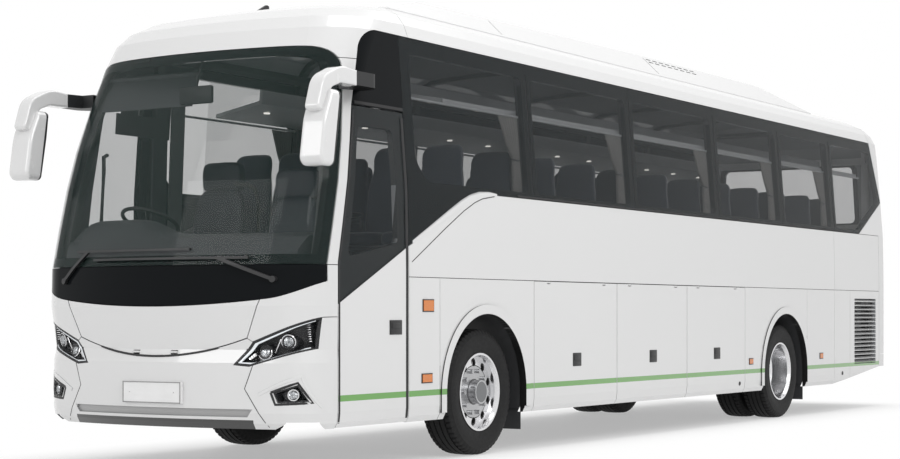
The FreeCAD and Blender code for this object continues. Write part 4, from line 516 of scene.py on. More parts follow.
class Parts:
    """Small forms gathered into one mesh."""

    def __init__(self):
        self.bm = bmesh.new()

    def box(self, center, size, bevel=0.0, turn=None):
        verts = bmesh.ops.create_cube(self.bm, size=1.0)["verts"]
        bmesh.ops.scale(self.bm, vec=size, verts=verts)
        if bevel:
            edges = list({edge for vert in verts for edge in vert.link_edges})
            verts = bmesh.ops.bevel(self.bm, geom=edges, offset=bevel, segments=2, affect="EDGES",
                                    profile=0.5)["verts"]
        self._place(verts, center, turn)

    def rod(self, a, b, radius, radius_b=None, segments=20):
        a, b = Vector(a), Vector(b)
        verts = bmesh.ops.create_cone(self.bm, cap_ends=True, segments=segments, radius1=radius,
                                      radius2=radius if radius_b is None else radius_b,
                                      depth=(b - a).length)["verts"]
        self._place(verts, (a + b) / 2, (b - a).to_track_quat("Z", "Y").to_matrix())

    def dome(self, center, axis, radius, height, rings=6, segments=24):
        """Shallow cap that bulges along axis."""
        grid = []
        for ring in range(rings):
            t = ring / (rings - 1) * pi / 2
            grid.append([(radius * cos(t) * cos(a), radius * cos(t) * sin(a), height * sin(t))
                         for a in turns(segments)])
        self.rings(grid, center, Vector(axis).to_track_quat("Z", "Y").to_matrix(), cap=False)

    def lathe(self, profile, center, axis, segments):
        """Profile of (radius, along) turned round an axis through center."""
        grid = [[(r * cos(a), y, r * sin(a)) for a in turns(segments)] for r, y in profile]
        self.rings(grid, center, Vector(axis).to_track_quat("Y", "Z").to_matrix(), cap=False)

    def rings(self, grid, center=(0, 0, 0), turn=None, cap=True, closed=True):
        """Skin over rows of points; each row is a ring, or an open line where closed is False."""
        rows = [[self.bm.verts.new(point) for point in row] for row in grid]
        count = len(rows[0])
        for low, high in zip(rows, rows[1:]):
            for k in range(count if closed else count - 1):
                self.bm.faces.new((low[k], low[(k + 1) % count], high[(k + 1) % count], high[k]))
        if cap:
            self.bm.faces.new(list(reversed(rows[0])))
            self.bm.faces.new(rows[-1])
        self._place([vert for row in rows for vert in row], center, turn)

    def tube(self, points, radius, segments=10):
        """Round bar along a bent line."""
        points = [Vector(point) for point in points]
        grid = []
        for index, point in enumerate(points):
            ahead = points[min(index + 1, len(points) - 1)] - points[max(index - 1, 0)]
            turn = ahead.to_track_quat("Z", "Y").to_matrix()
            grid.append([point + turn @ Vector((radius * cos(a), radius * sin(a), 0.0))
                         for a in turns(segments)])
        self.rings(grid)

    def slab(self, outline, depth):
        """Closed outline of points, thickened by the vector depth."""
        self.rings([outline, [Vector(point) + Vector(depth) for point in outline]])

    def _place(self, verts, center, turn):
        if turn is not None:
            bmesh.ops.rotate(self.bm, cent=(0, 0, 0), matrix=turn, verts=verts)
        bmesh.ops.translate(self.bm, vec=center, verts=verts)

    def mirrored(self):
        """The same again on the bus's other side."""
        whole = self.bm.verts[:] + self.bm.edges[:] + self.bm.faces[:]
        copy = bmesh.ops.duplicate(self.bm, geom=whole)["geom"]
        verts = [item for item in copy if isinstance(item, bmesh.types.BMVert)]
        bmesh.ops.scale(self.bm, vec=(1, -1, 1), verts=verts)
        return self

    def done(self, name, material, slot="black_plastic", body="body", replaces=(), sharp=35.0,
             levels=0):
        """Ends the form as a piece that rides a body and may stand for nodes."""
        bmesh.ops.recalc_face_normals(self.bm, faces=self.bm.faces[:])
        mesh = bpy.data.meshes.new(name)
        self.bm.to_mesh(mesh)
        self.bm.free()
        mesh.materials.append(material)
        for polygon in mesh.polygons:
            polygon.use_smooth = True
        mesh.set_sharp_from_angle(angle=radians(sharp))
        piece = put(name, mesh)
        if levels:
            rounding = piece.modifiers.new("round", "SUBSURF")
            rounding.levels = rounding.render_levels = levels
        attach(piece, body)
        if replaces:
            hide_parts(*replaces)
        return piece


class Skin:
    """Finds the bus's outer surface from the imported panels."""

    def __init__(self, *names):
        verts, faces = [], []
        for name in names:
            mesh = NODES[name].data
            start = len(verts)
            verts += [NODES[name].matrix_world @ vert.co for vert in mesh.vertices]
            faces += [[start + index for index in polygon.vertices] for polygon in mesh.polygons]
        self.tree = BVHTree.FromPolygons(verts, faces)

    def reach(self, start, way, sideways, proud):
        """Point and normal met along way; where a seam is met instead, the nearest panel beside it."""
        start, way, sideways = Vector(start), Vector(way), Vector(sideways)
        for step in (0.0, 0.004, -0.004, 0.008, -0.008, 0.014, -0.014):
            hit, normal, _, _ = self.tree.ray_cast(start + sideways * step, way)
            if hit is not None:
                return hit - sideways * step + normal * proud, normal
        raise ValueError("no panel at %s" % start)

    def front(self, y, z, proud=0.0):
        return self.reach((7.0, y, z), (-1, 0, 0), (0, 0, 1), proud)

    def side(self, x, z, proud=0.0, sign=1):
        return self.reach((x, 2.0 * sign, z), (0, -sign, 0), (0, 0, 1), proud)

    def top(self, x, y, proud=0.0):
        return self.reach((x, y, 5.0), (0, 0, -1), (1, 0, 0), proud)


def along(corners, step):
    """Points every step along straight runs."""
    points = []
    for a, b in zip(corners, corners[1:]):
        a, b = Vector(a), Vector(b)
        count = max(1, round((b - a).length / step))
        points += [tuple(a.lerp(b, k / count)) for k in range(count)]
    return points + [tuple(corners[-1])]


def between_rows(rows, z):
    """Second column of rows at height z, straight between the rows."""
    z = min(max(z, rows[0][0]), rows[-1][0])
    for (z0, w0), (z1, w1) in zip(rows, rows[1:]):
        if z <= z1:
            return w0 + (w1 - w0) * (z - z0) / (z1 - z0)
    return rows[-1][1]


def ribbon(parts, hits, width, proud):
    """Flat band along surface points [(point, normal)], with raised middle and edges let in."""
    rows = []
    for index, (point, normal) in enumerate(hits):
        ahead = hits[min(index + 1, len(hits) - 1)][0] - hits[max(index - 1, 0)][0]
        across = normal.cross(ahead).normalized() * (0.5 * width)
        up = normal * proud
        rows.append([point + across - up, point + across * 0.8 + up, point - across * 0.8 + up,
                     point - across - up])
    parts.rings(rows)


def strip(parts, reach, line, step, width, proud):
    """Ribbon along a line of places, each put on the surface by reach."""
    ribbon(parts, [reach(*place) for place in along(line, step)], width, proud)


# ---- tyres ----
TREAD_DEPTH = 0.011
LUGS, LUG_STEPS = 60, 4  # slots round a shoulder, and points from one to the next
# middles in Y of the tyres on one side, for an outer face at TYRE_FACE
TYRE_MIDDLES, TYRE_FACE = {"front": (1.0625,), "rear": (1.0625, 0.7505)}, 1.2
# half profile from bead to middle: radius, out from the middle, and 1 where a slot cuts the edge
TYRE_HALF = ((0.288, 0.104, 0), (0.3, 0.117, 0), (0.316, 0.121, 0), (0.322, 0.1255, 0),
             (0.33, 0.1262, 0), (0.345, 0.1295, 0), (0.372, 0.1345, 0), (0.405, 0.1368, 0),
             (0.43, 0.1345, 0), (0.442, 0.1335, 0), (0.446, 0.13, 0), (0.468, 0.1225, 1),
             (0.482, 0.112, 1), (0.4855, 0.096, 1), (0.4862, 0.076, 1), (0.4765, 0.075, 0),
             (0.4765, 0.066, 0), (0.488, 0.065, 0), (0.4885, 0.03, 0), (0.478, 0.029, 0),
             (0.478, 0.02, 0), (0.4895, 0.019, 0))


def tyre(parts, x, y):
    """Tyre with two pairs of grooves round the tread and slotted shoulders."""
    profile = [(r, -w, cut) for r, w, cut in TYRE_HALF] + list(reversed(TYRE_HALF))
    count = LUGS * LUG_STEPS
    grid = []
    for r, w, cut in profile:
        row = []
        for k in range(count):
            a = 2 * pi * (k + (0.5 * LUG_STEPS if w > 0 else 0.0)) / count
            depth = TREAD_DEPTH if cut and k % LUG_STEPS == 0 else 0.0
            row.append(((r - depth) * cos(a), w, (r - depth) * sin(a)))
        grid.append(row)
    parts.rings(grid, (x, y, WHEEL_Z), cap=False)


for axle, x in AXLE_X.items():
    for sign, side in SIDES:
        node = f"tyre_{axle}_{side}"
        low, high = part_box(node)
        face = max(abs(low[1]), abs(high[1]))
        rubber = Parts()
        for middle in TYRE_MIDDLES[axle]:
            tyre(rubber, x, sign * (middle + face - TYRE_FACE))
        rubber.done(f"tread_{axle}_{side}", RUBBER_TYRE, "tyre", f"wheel_{axle}_{side}", [node])


# ---- lamps ----
FRONT = Skin("front_bumper", "front_shell", "front_flap", "lamp_lenses", "windscreen_frame",
             "windscreen")
LAMP = ((0.655, 0.745), (0.79, 0.905), (1.218, 1.072), (1.192, 0.858), (0.775, 0.735))
LAMP_DEEP = -0.03  # how far the lamp's inside lies behind its lens
PROJECTORS = ((0.868, 0.838), (1.035, 0.9))
FOG_LIGHT = (1.078, 0.545)


def lamp_line(inset):
    """The lamp's corners drawn in towards its middle."""
    cy, cz = (sum(corner[k] for corner in LAMP) / len(LAMP) for k in (0, 1))
    drawn = []
    for y, z in LAMP:
        length = ((y - cy) ** 2 + (z - cz) ** 2) ** 0.5
        drawn.append((y - (y - cy) / length * inset, z - (z - cz) / length * inset))
    return drawn


def lamp_strip(parts, line, proud, width, height):
    """Ribbon in the lamp, behind the lens when proud is negative."""
    ribbon(parts, [FRONT.front(y, z, proud) for y, z in along(line, 0.03)], width, height)


chrome, guides, bezels, domes = Parts(), Parts(), Parts(), Parts()
inner, rim_line = lamp_line(0.03), lamp_line(0.008)
lamp_strip(guides, inner[:3], -0.01, 0.026, 0.004)
lamp_strip(guides, [inner[0], inner[4], inner[3]], -0.012, 0.018, 0.003)
lamp_strip(bezels, rim_line + rim_line[:1], -0.004, 0.026, 0.003)
for y, z in PROJECTORS:
    point, normal = FRONT.front(y, z, LAMP_DEEP)
    chrome.lathe([(0.05, -0.012), (0.052, 0.004), (0.046, 0.008), (0.042, 0.0), (0.042, -0.012)],
                 point, normal, 40)
    domes.dome(point - normal * 0.004, normal, 0.04, 0.018)
for k in range(3):
    point, normal = FRONT.front(0.765 + 0.014 * k, 0.8 + 0.012 * k, LAMP_DEEP)
    chrome.dome(point, normal, 0.016, 0.006, rings=3, segments=6)
divider, _ = FRONT.front(0.955, 0.87, LAMP_DEEP - 0.005)
chrome.box(divider, (0.006, 0.01, 0.11), 0.003, Matrix.Rotation(radians(-28), 3, "X"))
for k in range(9):
    louvre, _ = FRONT.front(1.165, 0.905 + 0.016 * k, LAMP_DEEP)
    chrome.box(louvre, (0.012, 0.03, 0.006), 0.002)
point, normal = FRONT.front(*FOG_LIGHT, -0.022)
domes.dome(point, normal, 0.034, 0.014)
chrome.rod(point - normal * 0.02, point + normal * 0.002, 0.04)
chrome.mirrored().done("lamp_reflectors", CHROME, "lamp_chrome")
guides.mirrored().done("lamp_light_guides", GUIDE_LIGHT, "lamp_glass")
bezels.mirrored().done("lamp_bezels", TRIM)
domes.mirrored().done("lamp_projectors", REFLECTOR, "lamp_chrome")

# ---- seams, seals, handles ----
SIDE = Skin("side_panels", "window_band", "cabin_glass", "door_leaf", "door_glass", "arch_panels",
            *[f"luggage_door_{side}_{number}" for _, side in SIDES for number in (1, 2, 3)])
CORNER_SEAM = ((0.8, 0.742), (0.742, 0.585), (0.905, 0.325))  # Y, Z on the bumper
BAND_FOLD = ((4.57, 1.472), (4.12, 1.724), (3.84, 1.872), (3.67, 1.946), (3.555, 1.981),
             (3.37, 2.008))
GLASS_FOOT = 2.03  # Z of the panes' lower edge
seams = Parts()
strip(seams, FRONT.front, CORNER_SEAM, 0.04, 0.006, 0.0012)
strip(seams, SIDE.side, BAND_FOLD, 0.08, 0.008, 0.0012)
seams.mirrored().done("body_seams", RUBBER)

seals = Parts()
for sign, _ in SIDES:
    for x in PILLARS:
        ribbon(seals, [SIDE.side(x, GLASS_FOOT + 0.1 * k, sign=sign) for k in range(11)], 0.014, 0.0015)
    ribbon(seals, [SIDE.side(3.0 - 0.4 * k, GLASS_FOOT, sign=sign) for k in range(20)], 0.016, 0.0012)
seals.done("window_seals", RUBBER)

# door's edges in X and Z, bottom up, then the step along them, width and height of the rubber;
# the lowest parts, where the skin curves under, take small steps
DOOR_EDGES = ((((4.636, 0.345), (4.636, 0.52)), 0.0175, 0.036, 0.0015),
              (((4.636, 0.52), (4.636, 2.51)), 0.12, 0.036, 0.0015),
              (((5.488, 0.345), (5.488, 0.52)), 0.0175, 0.022, 0.0012),
              (((5.488, 0.52), (5.488, 1.45), (5.243, 2.52)), 0.12, 0.022, 0.0012))
door_seals = Parts()
for line, step, width, proud in DOOR_EDGES:
    strip(door_seals, SIDE.side, line, step, width, proud)
door_seals.done("door_edge_seals", RUBBER, body="door_leaf")
rain_rail = Parts()
strip(rain_rail, SIDE.side, ((4.62, 2.572), (5.23, 2.572)), 0.1, 0.026, 0.005)
rain_rail.done("door_rain_rail", RUBBER)

FLAP_END, FLAP_MIDDLE = (0.752, 0.928), 0.804  # flap's lower seam: Y, Z of its end, Z of its middle


def flap_seam(y):
    """Point and normal on the flap's lower seam, taken from the bumper just under it."""
    z = FLAP_MIDDLE + (FLAP_END[1] - FLAP_MIDDLE) * (y / FLAP_END[0]) ** 2
    point, normal = FRONT.front(y, z - 0.016)
    return Vector((point.x, y, z - 0.003)), normal


FOG_RIM = ((0.93, 0.562), (1.105, 0.628), (1.18, 0.492), (0.962, 0.48), (0.93, 0.562))
FOG_PRESS = ((0.845, 0.548), (1.0, 0.625), (1.125, 0.672), (1.165, 0.56), (1.215, 0.462))
fog_rims, fog_presses = Parts(), Parts()
strip(fog_rims, FRONT.front, FOG_RIM, 0.045, 0.02, 0.0015)
fog_rims.mirrored().done("fog_lamp_rims", TRIM)
strip(fog_presses, FRONT.front, FOG_PRESS, 0.045, 0.026, 0.004)
fog_presses.mirrored().done("fog_lamp_presses", PAINT, "white_paint")

flap_line = Parts()
ribbon(flap_line, [flap_seam(-0.7 + 0.05 * k) for k in range(29)], 0.014, 0.0012)
flap_line.done("flap_lower_seal", RUBBER)

LATCH_X, LATCH_Y = (2.01, 0.53, -0.904), 1.249
# plate, pull and lower bar: out from LATCH_Y, height, size, bevel
LATCH = ((0.0, 0.712, (0.15, 0.01, 0.112), 0.004), (0.004, 0.728, (0.124, 0.012, 0.052), 0.005),
         (0.002, 0.678, (0.124, 0.01, 0.01), 0.003))
for sign, side in SIDES:
    for number, x in enumerate(LATCH_X, 1):
        handle = Parts()
        for out, z, size, bevel in LATCH:
            handle.box((x, sign * (LATCH_Y + out), z), size, bevel)
        handle.done(f"luggage_latch_{side}_{number}", TRIM, body=f"luggage_door_{side}_{number}")
grip = Parts()
grip.box((4.789, 1.2555, 0.998), (0.15, 0.006, 0.098), 0.003)
grip.box((4.8, 1.26, 1.01), (0.1, 0.008, 0.04), 0.004)
grip.done("door_grip", TRIM, body="door_leaf")

SIDE_LAMPS = (((4.285, 4.423), (1.117, 1.195)), ((4.306, 4.437), (0.594, 0.651)),
              ((-1.8, -1.71), (0.59, 0.64)), ((-3.79, -3.7), (0.608, 0.66)))
REFLECTORS = ((-1.467, 0.4), (-4.416, 0.425))
# bars round a side lamp: thickness, Y, gap to the lamp, length over the lamp's
EDGE, EDGE_Y, EDGE_GAP, EDGE_OVER = 0.007, 1.2525, 0.004, 0.015
surrounds = Parts()
for sign, _ in SIDES:
    for (x0, x1), (z0, z1) in SIDE_LAMPS:
        y = sign * EDGE_Y
        for x in (x0 - EDGE_GAP, x1 + EDGE_GAP):
            surrounds.box((x, y, 0.5 * (z0 + z1)), (EDGE, EDGE, z1 - z0 + EDGE_OVER), 0.002)
        for z in (z0 - EDGE_GAP, z1 + EDGE_GAP):
            surrounds.box((0.5 * (x0 + x1), y, z), (x1 - x0 + EDGE_OVER, EDGE, EDGE), 0.002)
    for x, z in REFLECTORS:
        point, normal = SIDE.side(x, z, sign=sign)
        surrounds.rod(point, point + normal * 0.006, 0.022, 0.018)
surrounds.done("marker_surrounds", TRIM)

# rounded edge of the white panel where the band drops, and the CAD's straight one under it
BAND_CORNER = ((4.56, 1.628), (4.3, 1.752), (4.05, 1.872), (3.87, 1.955), (3.74, 2.003),
               (3.6, 2.034), (3.45, 2.041), (3.33, 2.032))
BAND_RAMP = ((4.611, 1.586), (3.74, 1.94), (3.408, 2.018), (3.2, 2.018))
for sign, side in SIDES:
    corner, rows = Parts(), []
    for x, z in along(BAND_CORNER, 0.05):
        low = between_rows([(-a, b) for a, b in BAND_RAMP], -x) - 0.01
        row = [SIDE.side(x, low + (z - low) * 0.25 * k, sign=sign) for k in range(5)]
        rows.append([point + normal * (0.0016 if 0 < k < 4 else -0.002)  # edges let in
                     for k, (point, normal) in enumerate(row)])
    corner.rings([row + [row[2] - Vector((0, sign * 0.006, 0))] for row in rows])
    corner.done("band_corner_" + side, PAINT, "white_paint")

# ---- roof ----
TOP = Skin("roof_shell", "roof_pod", "front_shell", "rear_shell")
VENT_Y, VENT_X, VENT_PITCH = (0.695, 0.725), -0.52, 0.145  # two rows of slots in the pod
POD_SEAMS, POD_HALF, FIN_X = (2.6, -0.42), 0.86, 4.7
vents = Parts()
for y in VENT_Y:
    for k in range(8):
        point, normal = TOP.top(VENT_X - VENT_PITCH * k, y, -0.001)
        lie = Matrix.Rotation(-atan2(normal.y, normal.z), 3, "X")
        vents.box(point, (0.095, 0.014, 0.005), 0.002, lie)
vents.mirrored().done("pod_vents", TRIM)
pod_seams = Parts()
for x in POD_SEAMS:
    ribbon(pod_seams, [TOP.top(x, POD_HALF * (k / 20 - 1)) for k in range(41)], 0.008, 0.0012)
pod_seams.done("pod_seams", PLATE_EDGE)
FIN = ((0.07, -0.012, -0.004), (-0.07, -0.012, -0.004), (-0.055, -0.008, 0.045),
       (-0.03, -0.008, 0.05))
fin = Parts()
base, _ = TOP.top(FIN_X, 0.0)
fin.slab([base + Vector(corner) for corner in FIN], (0, 0.02, 0))
fin.done("roof_fin", TRIM)

# ---- seats ----
ROW_FRONT, ROW_PITCH, ROWS = 3.63, 0.74, 12
SEAT_Y = (0.47, 0.922)  # middles of a pair's two seats
ARM_Y = 0.256
# sections of a back: share of height, half width, depth, wing forward, metres but for the share
BACK = ((0.0, 0.185, 0.06, 0.0), (0.04, 0.205, 0.078, 0.004), (0.18, 0.212, 0.08, 0.014),
        (0.4, 0.214, 0.076, 0.022), (0.58, 0.208, 0.07, 0.026), (0.7, 0.188, 0.066, 0.02),
        (0.76, 0.176, 0.064, 0.018), (0.84, 0.182, 0.068, 0.03), (0.92, 0.178, 0.064, 0.032),
        (0.975, 0.158, 0.05, 0.02), (1.0, 0.12, 0.022, 0.006))
CAB_BACK = ((0.0, 0.18, 0.06, 0.0), (0.05, 0.205, 0.085, 0.006), (0.25, 0.214, 0.082, 0.02),
            (0.55, 0.218, 0.076, 0.03), (0.8, 0.21, 0.07, 0.028), (0.93, 0.185, 0.06, 0.018),
            (1.0, 0.13, 0.03, 0.004))
BACK_HALF = 0.214  # half width that the sections are drawn for
CUSHION = ((0.0, 0.9), (0.12, 0.97), (0.5, 1.0), (0.86, 0.96), (1.0, 0.8))  # share of height, size
RING = 28


def rounded(power_x, power_y):
    """Points of a rounded square from -1 to 1; smaller powers make it squarer."""
    for a in turns(RING):
        c, s = cos(a), sin(a)
        yield abs(c) ** power_x * (1 if c > 0 else -1), abs(s) ** power_y * (1 if s > 0 else -1)


def seat_back(parts, foot, head, half, scale=1.0, sections=BACK):
    """Padded back from foot to head; it faces +X and its sides curl forward."""
    foot, head = Vector(foot), Vector(head)
    rows = []
    for share, width, depth, wing in sections:
        middle = foot.lerp(head, share)
        row = []
        for u, v in rounded(0.7, 0.62):
            curl = wing * abs(v) ** 2.5 if u > 0 else 0.4 * wing * abs(v) ** 4
            crown = 0.01 * (1 - v * v) if u > 0 else 0.0
            row.append(middle + Vector((0.5 * depth * scale * u + curl + crown,
                                        v * width * half / BACK_HALF, 0.0)))
        rows.append(row)
    parts.rings(rows)


def seat_cushion(parts, x0, x1, y0, y1, z0, z1):
    """Crowned cushion whose sides pull in between its corners."""
    rows = []
    for share, size in CUSHION:
        row = []
        for u, v in rounded(0.35, 0.35):
            half = 0.5 * size * (1.0 - 0.015 * (1 - min(abs(u), abs(v))))
            row.append((0.5 * (x0 + x1) + (x1 - x0) * u * half, 0.5 * (y0 + y1) + (y1 - y0) * v * half,
                        z0 + (z1 - z0) * share))
        rows.append(row)
    parts.rings(rows)


def padded(parts, name, cloth, node):
    """Rounded, padded piece that stands for a node."""
    piece = parts.done(name, cloth, "seat_cloth", replaces=[node], sharp=80, levels=1)


backs, cushions, arms = Parts(), Parts(), Parts()
for row in range(ROWS):
    x = ROW_FRONT - ROW_PITCH * row
    for y in SEAT_Y:
        seat_back(backs, (x + 0.083, y, 1.665), (x - 0.047, y, 2.412), 0.216)
        seat_cushion(cushions, x + 0.15, x + 0.6, y - 0.218, y + 0.218, 1.61, 1.722)
    arms.box((x + 0.26, ARM_Y, 1.87), (0.3, 0.034, 0.045), 0.014)
    arms.box((x + 0.13, ARM_Y, 1.78), (0.04, 0.026, 0.18), 0.01)
    arms.tube([(x - 0.085, 0.4, 2.36), (x - 0.105, 0.4, 2.385), (x - 0.105, 0.54, 2.385),
               (x - 0.085, 0.54, 2.36)], 0.009)
padded(backs.mirrored(), "seat_backs", SEAT_CLOTH, "passenger_seats")
padded(cushions.mirrored(), "seat_cushions", SEAT_CLOTH, "passenger_seats")
arms.mirrored().done("seat_arms", TRIM, "seat_metal")

# driver's and guide's seats: back's X, middle's Y, half width, Z of the cushion's top and the back's
CAB_SEATS = ((4.3, -0.74, 0.25, 1.42, 2.3), (4.64, 0.24, 0.22, 1.4, 2.19))
CAB_FLOOR = 0.955
cab_pads, cab_shells = Parts(), Parts()
for x, y, half, top, back_top in CAB_SEATS:
    seat_cushion(cab_pads, x + 0.112, x + 0.608, y - half + 0.004, y + half - 0.004, top - 0.13, top)
    neck = back_top - 0.225
    seat_back(cab_pads, (x + 0.045, y, top - 0.095), (x - 0.045, y, neck + 0.02), half * 0.98, 1.15,
              CAB_BACK)
    seat_cushion(cab_pads, x - 0.108, x - 0.005, y - 0.195, y + 0.195, neck - 0.01, back_top)
    under = top - 0.135
    cab_shells.box((x + 0.355, y, 0.5 * (CAB_FLOOR + under)), (0.36, 0.3, under - CAB_FLOOR), 0.03)
    cab_shells.box((x + 0.355, y, top - 0.15), (0.46, 0.42, 0.03), 0.012)
    cab_shells.box((x + 0.04, y, top - 0.11), (0.09, 0.36, 0.08), 0.02)
padded(cab_pads, "cab_seat_pads", SEAT_LEATHER, "cab_seats")
cab_shells.done("cab_seat_bases", CAB_PLASTIC, replaces=["cab_seats"])


# ---- curtains ----
PLEATS = 7
SKIN_Y = ((2.018, 1.24), (2.3, 1.217), (2.62, 1.192), (2.94, 1.166))  # side: height, half width


def fold_depth(width, cloth):
    """Depth of the pleats at which cloth keeps its length when gathered to width."""
    low, high, count = 0.0, 0.2, 24
    for _ in range(count):
        middle = 0.5 * (low + high)
        slope = 2 * pi * PLEATS * middle / width
        length = sum((1 + (slope * cos(a)) ** 2) ** 0.5 for a in turns(count)) / count * width
        if length < cloth:
            low = middle
        else:
            high = middle
    return low


CURTAIN_Z = (2.066, 2.672)
CURTAIN_CUT, SLIM_CUT = (0.42, 0.606), (0.3, 0.606)  # what the cloth is cut to: width, drop
TIE_X, TIE_Z, TIE_HALF = 0.1375, 2.33, (0.056, 0.016)  # ahead of the pillar, height, half size
CLOTH_INSET = 0.068  # the cloth's middle, inside the side's skin
# height, rear edge ahead of the pillar's middle, front edge ahead of it
GATHERED = ((2.066, 0.085, 0.215), (2.2, 0.085, 0.205), (2.33, 0.09, 0.185),
            (2.45, 0.085, 0.27), (2.672, 0.08, 0.375))
SLIM = ((2.066, -0.045, 0.035), (2.33, 0.0, 0.065), (2.672, 0.055, 0.15))


def curtain(name, sign, x, edges, cut):
    """Gathered cloth with pleats, hung inside the glass; edges as GATHERED."""
    steps, count = 24, 10 * PLEATS
    rows = []
    for j in range(steps + 1):
        z = CURTAIN_Z[0] + (CURTAIN_Z[1] - CURTAIN_Z[0]) * j / steps
        rear, front = (between_rows([(row[0], row[k]) for row in edges], z) for k in (1, 2))
        depth = fold_depth(front - rear, cut[0])
        middle = between_rows(SKIN_Y, z) - CLOTH_INSET
        rows.append([(x + rear + (front - rear) * k / count,
                      sign * (middle + depth * sin(2 * pi * PLEATS * k / count)), z)
                     for k in range(count + 1)])
    parts = Parts()
    parts.rings(rows, cap=False, closed=False)
    piece = parts.done(name, CURTAIN_CLOTH, "curtain_cloth", replaces=["curtains"], sharp=80)


RAIL_X, RAIL_Z = (-5.3, 4.52), 2.684
ties, rails = Parts(), Parts()
rail_y = between_rows(SKIN_Y, CURTAIN_Z[1]) - CLOTH_INSET
for sign, _ in SIDES:
    rails.rod(*[(x, sign * rail_y, RAIL_Z) for x in RAIL_X], 0.01, segments=12)
rails.done("curtain_rails", PALE_PLASTIC, "rack_plastic")
tie_y = between_rows(SKIN_Y, TIE_Z) - CLOTH_INSET
for sign, side in SIDES:
    for number, x in enumerate(PILLARS, 1):
        curtain(f"curtain_{side}_{number}", sign, x, GATHERED, CURTAIN_CUT)
        ties.tube([(x + TIE_X + TIE_HALF[0] * cos(a), sign * (tie_y + TIE_HALF[1] * sin(a)),
                    TIE_Z + 0.006 * cos(2 * a)) for a in turns(24) + [2 * pi]], 0.005, segments=8)
curtain("curtain_left_front", 1, 4.385, SLIM, SLIM_CUT)
ties.done("curtain_ties", SEAT_CLOTH, "curtain_cloth")

# ---- cab ----
cab = Parts()
cab.box((5.49, 0.0, 2.665), (0.035, 0.3, 0.13), 0.016)
cab.tube([(5.49, 0.0, 2.72), (5.475, 0.0, 2.8), (5.42, 0.0, 2.9)], 0.01)
cab.tube([(5.32, -1.09, 1.7), (5.32, -1.06, 1.76), (5.3, -1.05, 2.18), (5.28, -1.07, 2.28),
          (5.22, -1.09, 2.3)], 0.015)
cab.tube([(4.5, -0.2, 0.96), (4.5, -0.2, 1.95), (4.5, -0.23, 2.05), (4.5, -0.3, 2.09),
          (4.5, -0.42, 2.1)], 0.016)
cab.done("cab_rails_and_mirror", TRIM)
mirror = Parts()
mirror.box((5.471, 0.0, 2.665), (0.003, 0.28, 0.112), 0.001)
mirror.done("cab_mirror_glass", MIRROR_GLASS, "lamp_chrome")
blind = Parts()
blind.box((5.335, -0.56, 2.72), (0.012, 0.86, 0.25), 0.004, Matrix.Rotation(radians(-22), 3, "Y"))
blind.rod((5.29, -1.0, 2.85), (5.29, -0.12, 2.85), 0.02)
blind.done("sun_blind", CAB_PLASTIC)
dials = Parts()
for y in (-0.84, -0.64):
    dials.rod((5.3, y, 1.64), (5.292, y, 1.645), 0.055)
for k in range(6):
    dials.box((5.332, -0.42 + 0.055 * k, 1.56), (0.012, 0.036, 0.022), 0.003)
dials.box((5.335, -0.25, 1.5), (0.014, 0.3, 0.06), 0.004)
dials.done("dash_controls", GLOSS_BLACK, "black_gloss")


def side_lining(parts, x0, x1, z0, z1, inset=0.105):
    """Flat trim on the right wall, leaning with it."""
    y0, y1 = (inset - between_rows(SKIN_Y, z) for z in (z0, z1))
    parts.slab([(x0, y0, z0), (x1, y0, z0), (x1, y1, z1), (x0, y1, z1)], (0.0, 0.014, 0.0))


# boards round the driver's window: X from and to, Z from and to
BOARDS = ((4.5, 5.12, 2.47, 2.63), (4.5, 4.67, 2.63, 2.71), (4.88, 5.07, 2.63, 2.71),
          (4.5, 5.05, 2.71, 2.93), (4.52, 4.69, 1.3, 2.47))
lining, pillar = Parts(), Parts()
for board in BOARDS:
    side_lining(lining, *board)
lining.done("driver_window_lining", CAB_PLASTIC)
side_lining(pillar, 4.34, 4.498, 1.31, 2.92, 0.11)
pillar.done("driver_pillar_lining", PILLAR_LINING, "rack_plastic")

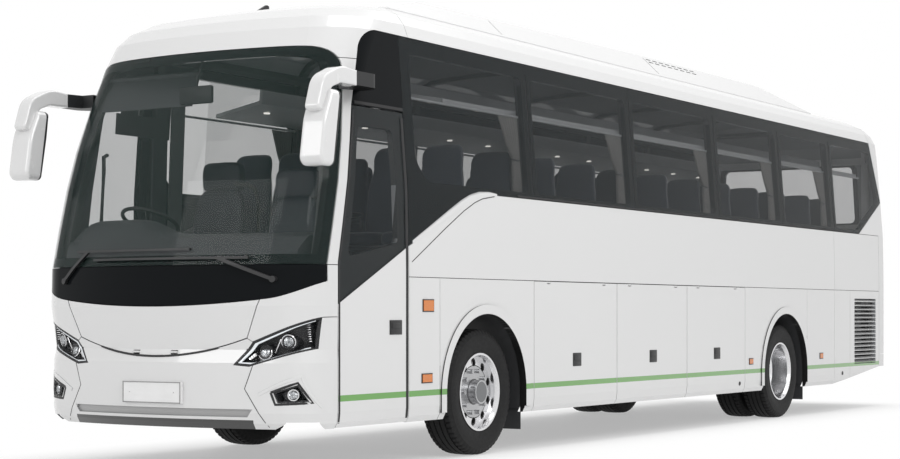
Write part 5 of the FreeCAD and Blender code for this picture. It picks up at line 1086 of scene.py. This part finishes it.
DASH_FRONT, DASH_REAR = 0.08, 5.266  # gap to the windscreen, and X of the edge by the driver
HUMP_Y, HUMP_HALF, HUMP = -0.74, 0.4, 0.125
# the dash top's outline: share of the way from front to rear, height, share of the hump
DASH_TOP = ((0.0, 1.475, 0.0), (0.13, 1.5, 0.1), (0.28, 1.56, 0.5), (0.44, 1.64, 0.92),
            (0.63, 1.668, 1.0), (0.82, 1.665, 1.0), (0.93, 1.645, 0.95), (0.985, 1.6, 0.8),
            (1.0, 1.54, 0.3), (0.97, 1.46, 0.0), (0.5, 1.44, 0.0), (0.06, 1.44, 0.0))


def dash_row(y):
    """Section of the soft dash top, with a hump over the instruments."""
    front = FRONT.front(y, 1.5)[0].x - DASH_FRONT
    hump = HUMP / (1 + ((y - HUMP_Y) / HUMP_HALF) ** 6)
    return [(front + (DASH_REAR - front) * t, y, z + share * hump) for t, z, share in DASH_TOP]


pad = Parts()
pad.rings([dash_row(-1.06 + 2.12 * k / 44) for k in range(45)])
pad.done("dash_pad", CAB_PLASTIC, levels=1, sharp=80)

LIGHTS, LIGHT_X, LIGHT_PITCH, LIGHT_Y, LIGHT_Z = 13, 3.6, 0.72, 0.8, 2.752
downlights = Parts()
for sign, _ in SIDES:
    for k in range(LIGHTS):
        x, y = LIGHT_X - LIGHT_PITCH * k, sign * LIGHT_Y
        downlights.rod((x, y, LIGHT_Z), (x, y, LIGHT_Z - 0.008), 0.026)
downlights.done("rack_downlights", CABIN_LIGHT, "rack_plastic")

PLATES = ((5.983, 0.475, 0.625), (-6.0085, 0.5, 0.65))  # X of the bars, Z of the plate's edges
PLATE_HALF, PLATE_LONG, BAR, BAR_BEVEL = 0.257, 0.512, 0.006, 0.0015
plate_frames = Parts()
for x, z0, z1 in PLATES:
    for z in (z0 + 0.004, z1 - 0.004):
        plate_frames.box((x, 0, z), (BAR, PLATE_LONG, BAR), BAR_BEVEL)
    for y in (-PLATE_HALF, PLATE_HALF):
        plate_frames.box((x, y, 0.5 * (z0 + z1)), (BAR, BAR, z1 - z0), BAR_BEVEL)
plate_frames.done("plate_frames", PLATE_EDGE)

bpy.context.view_layer.update()
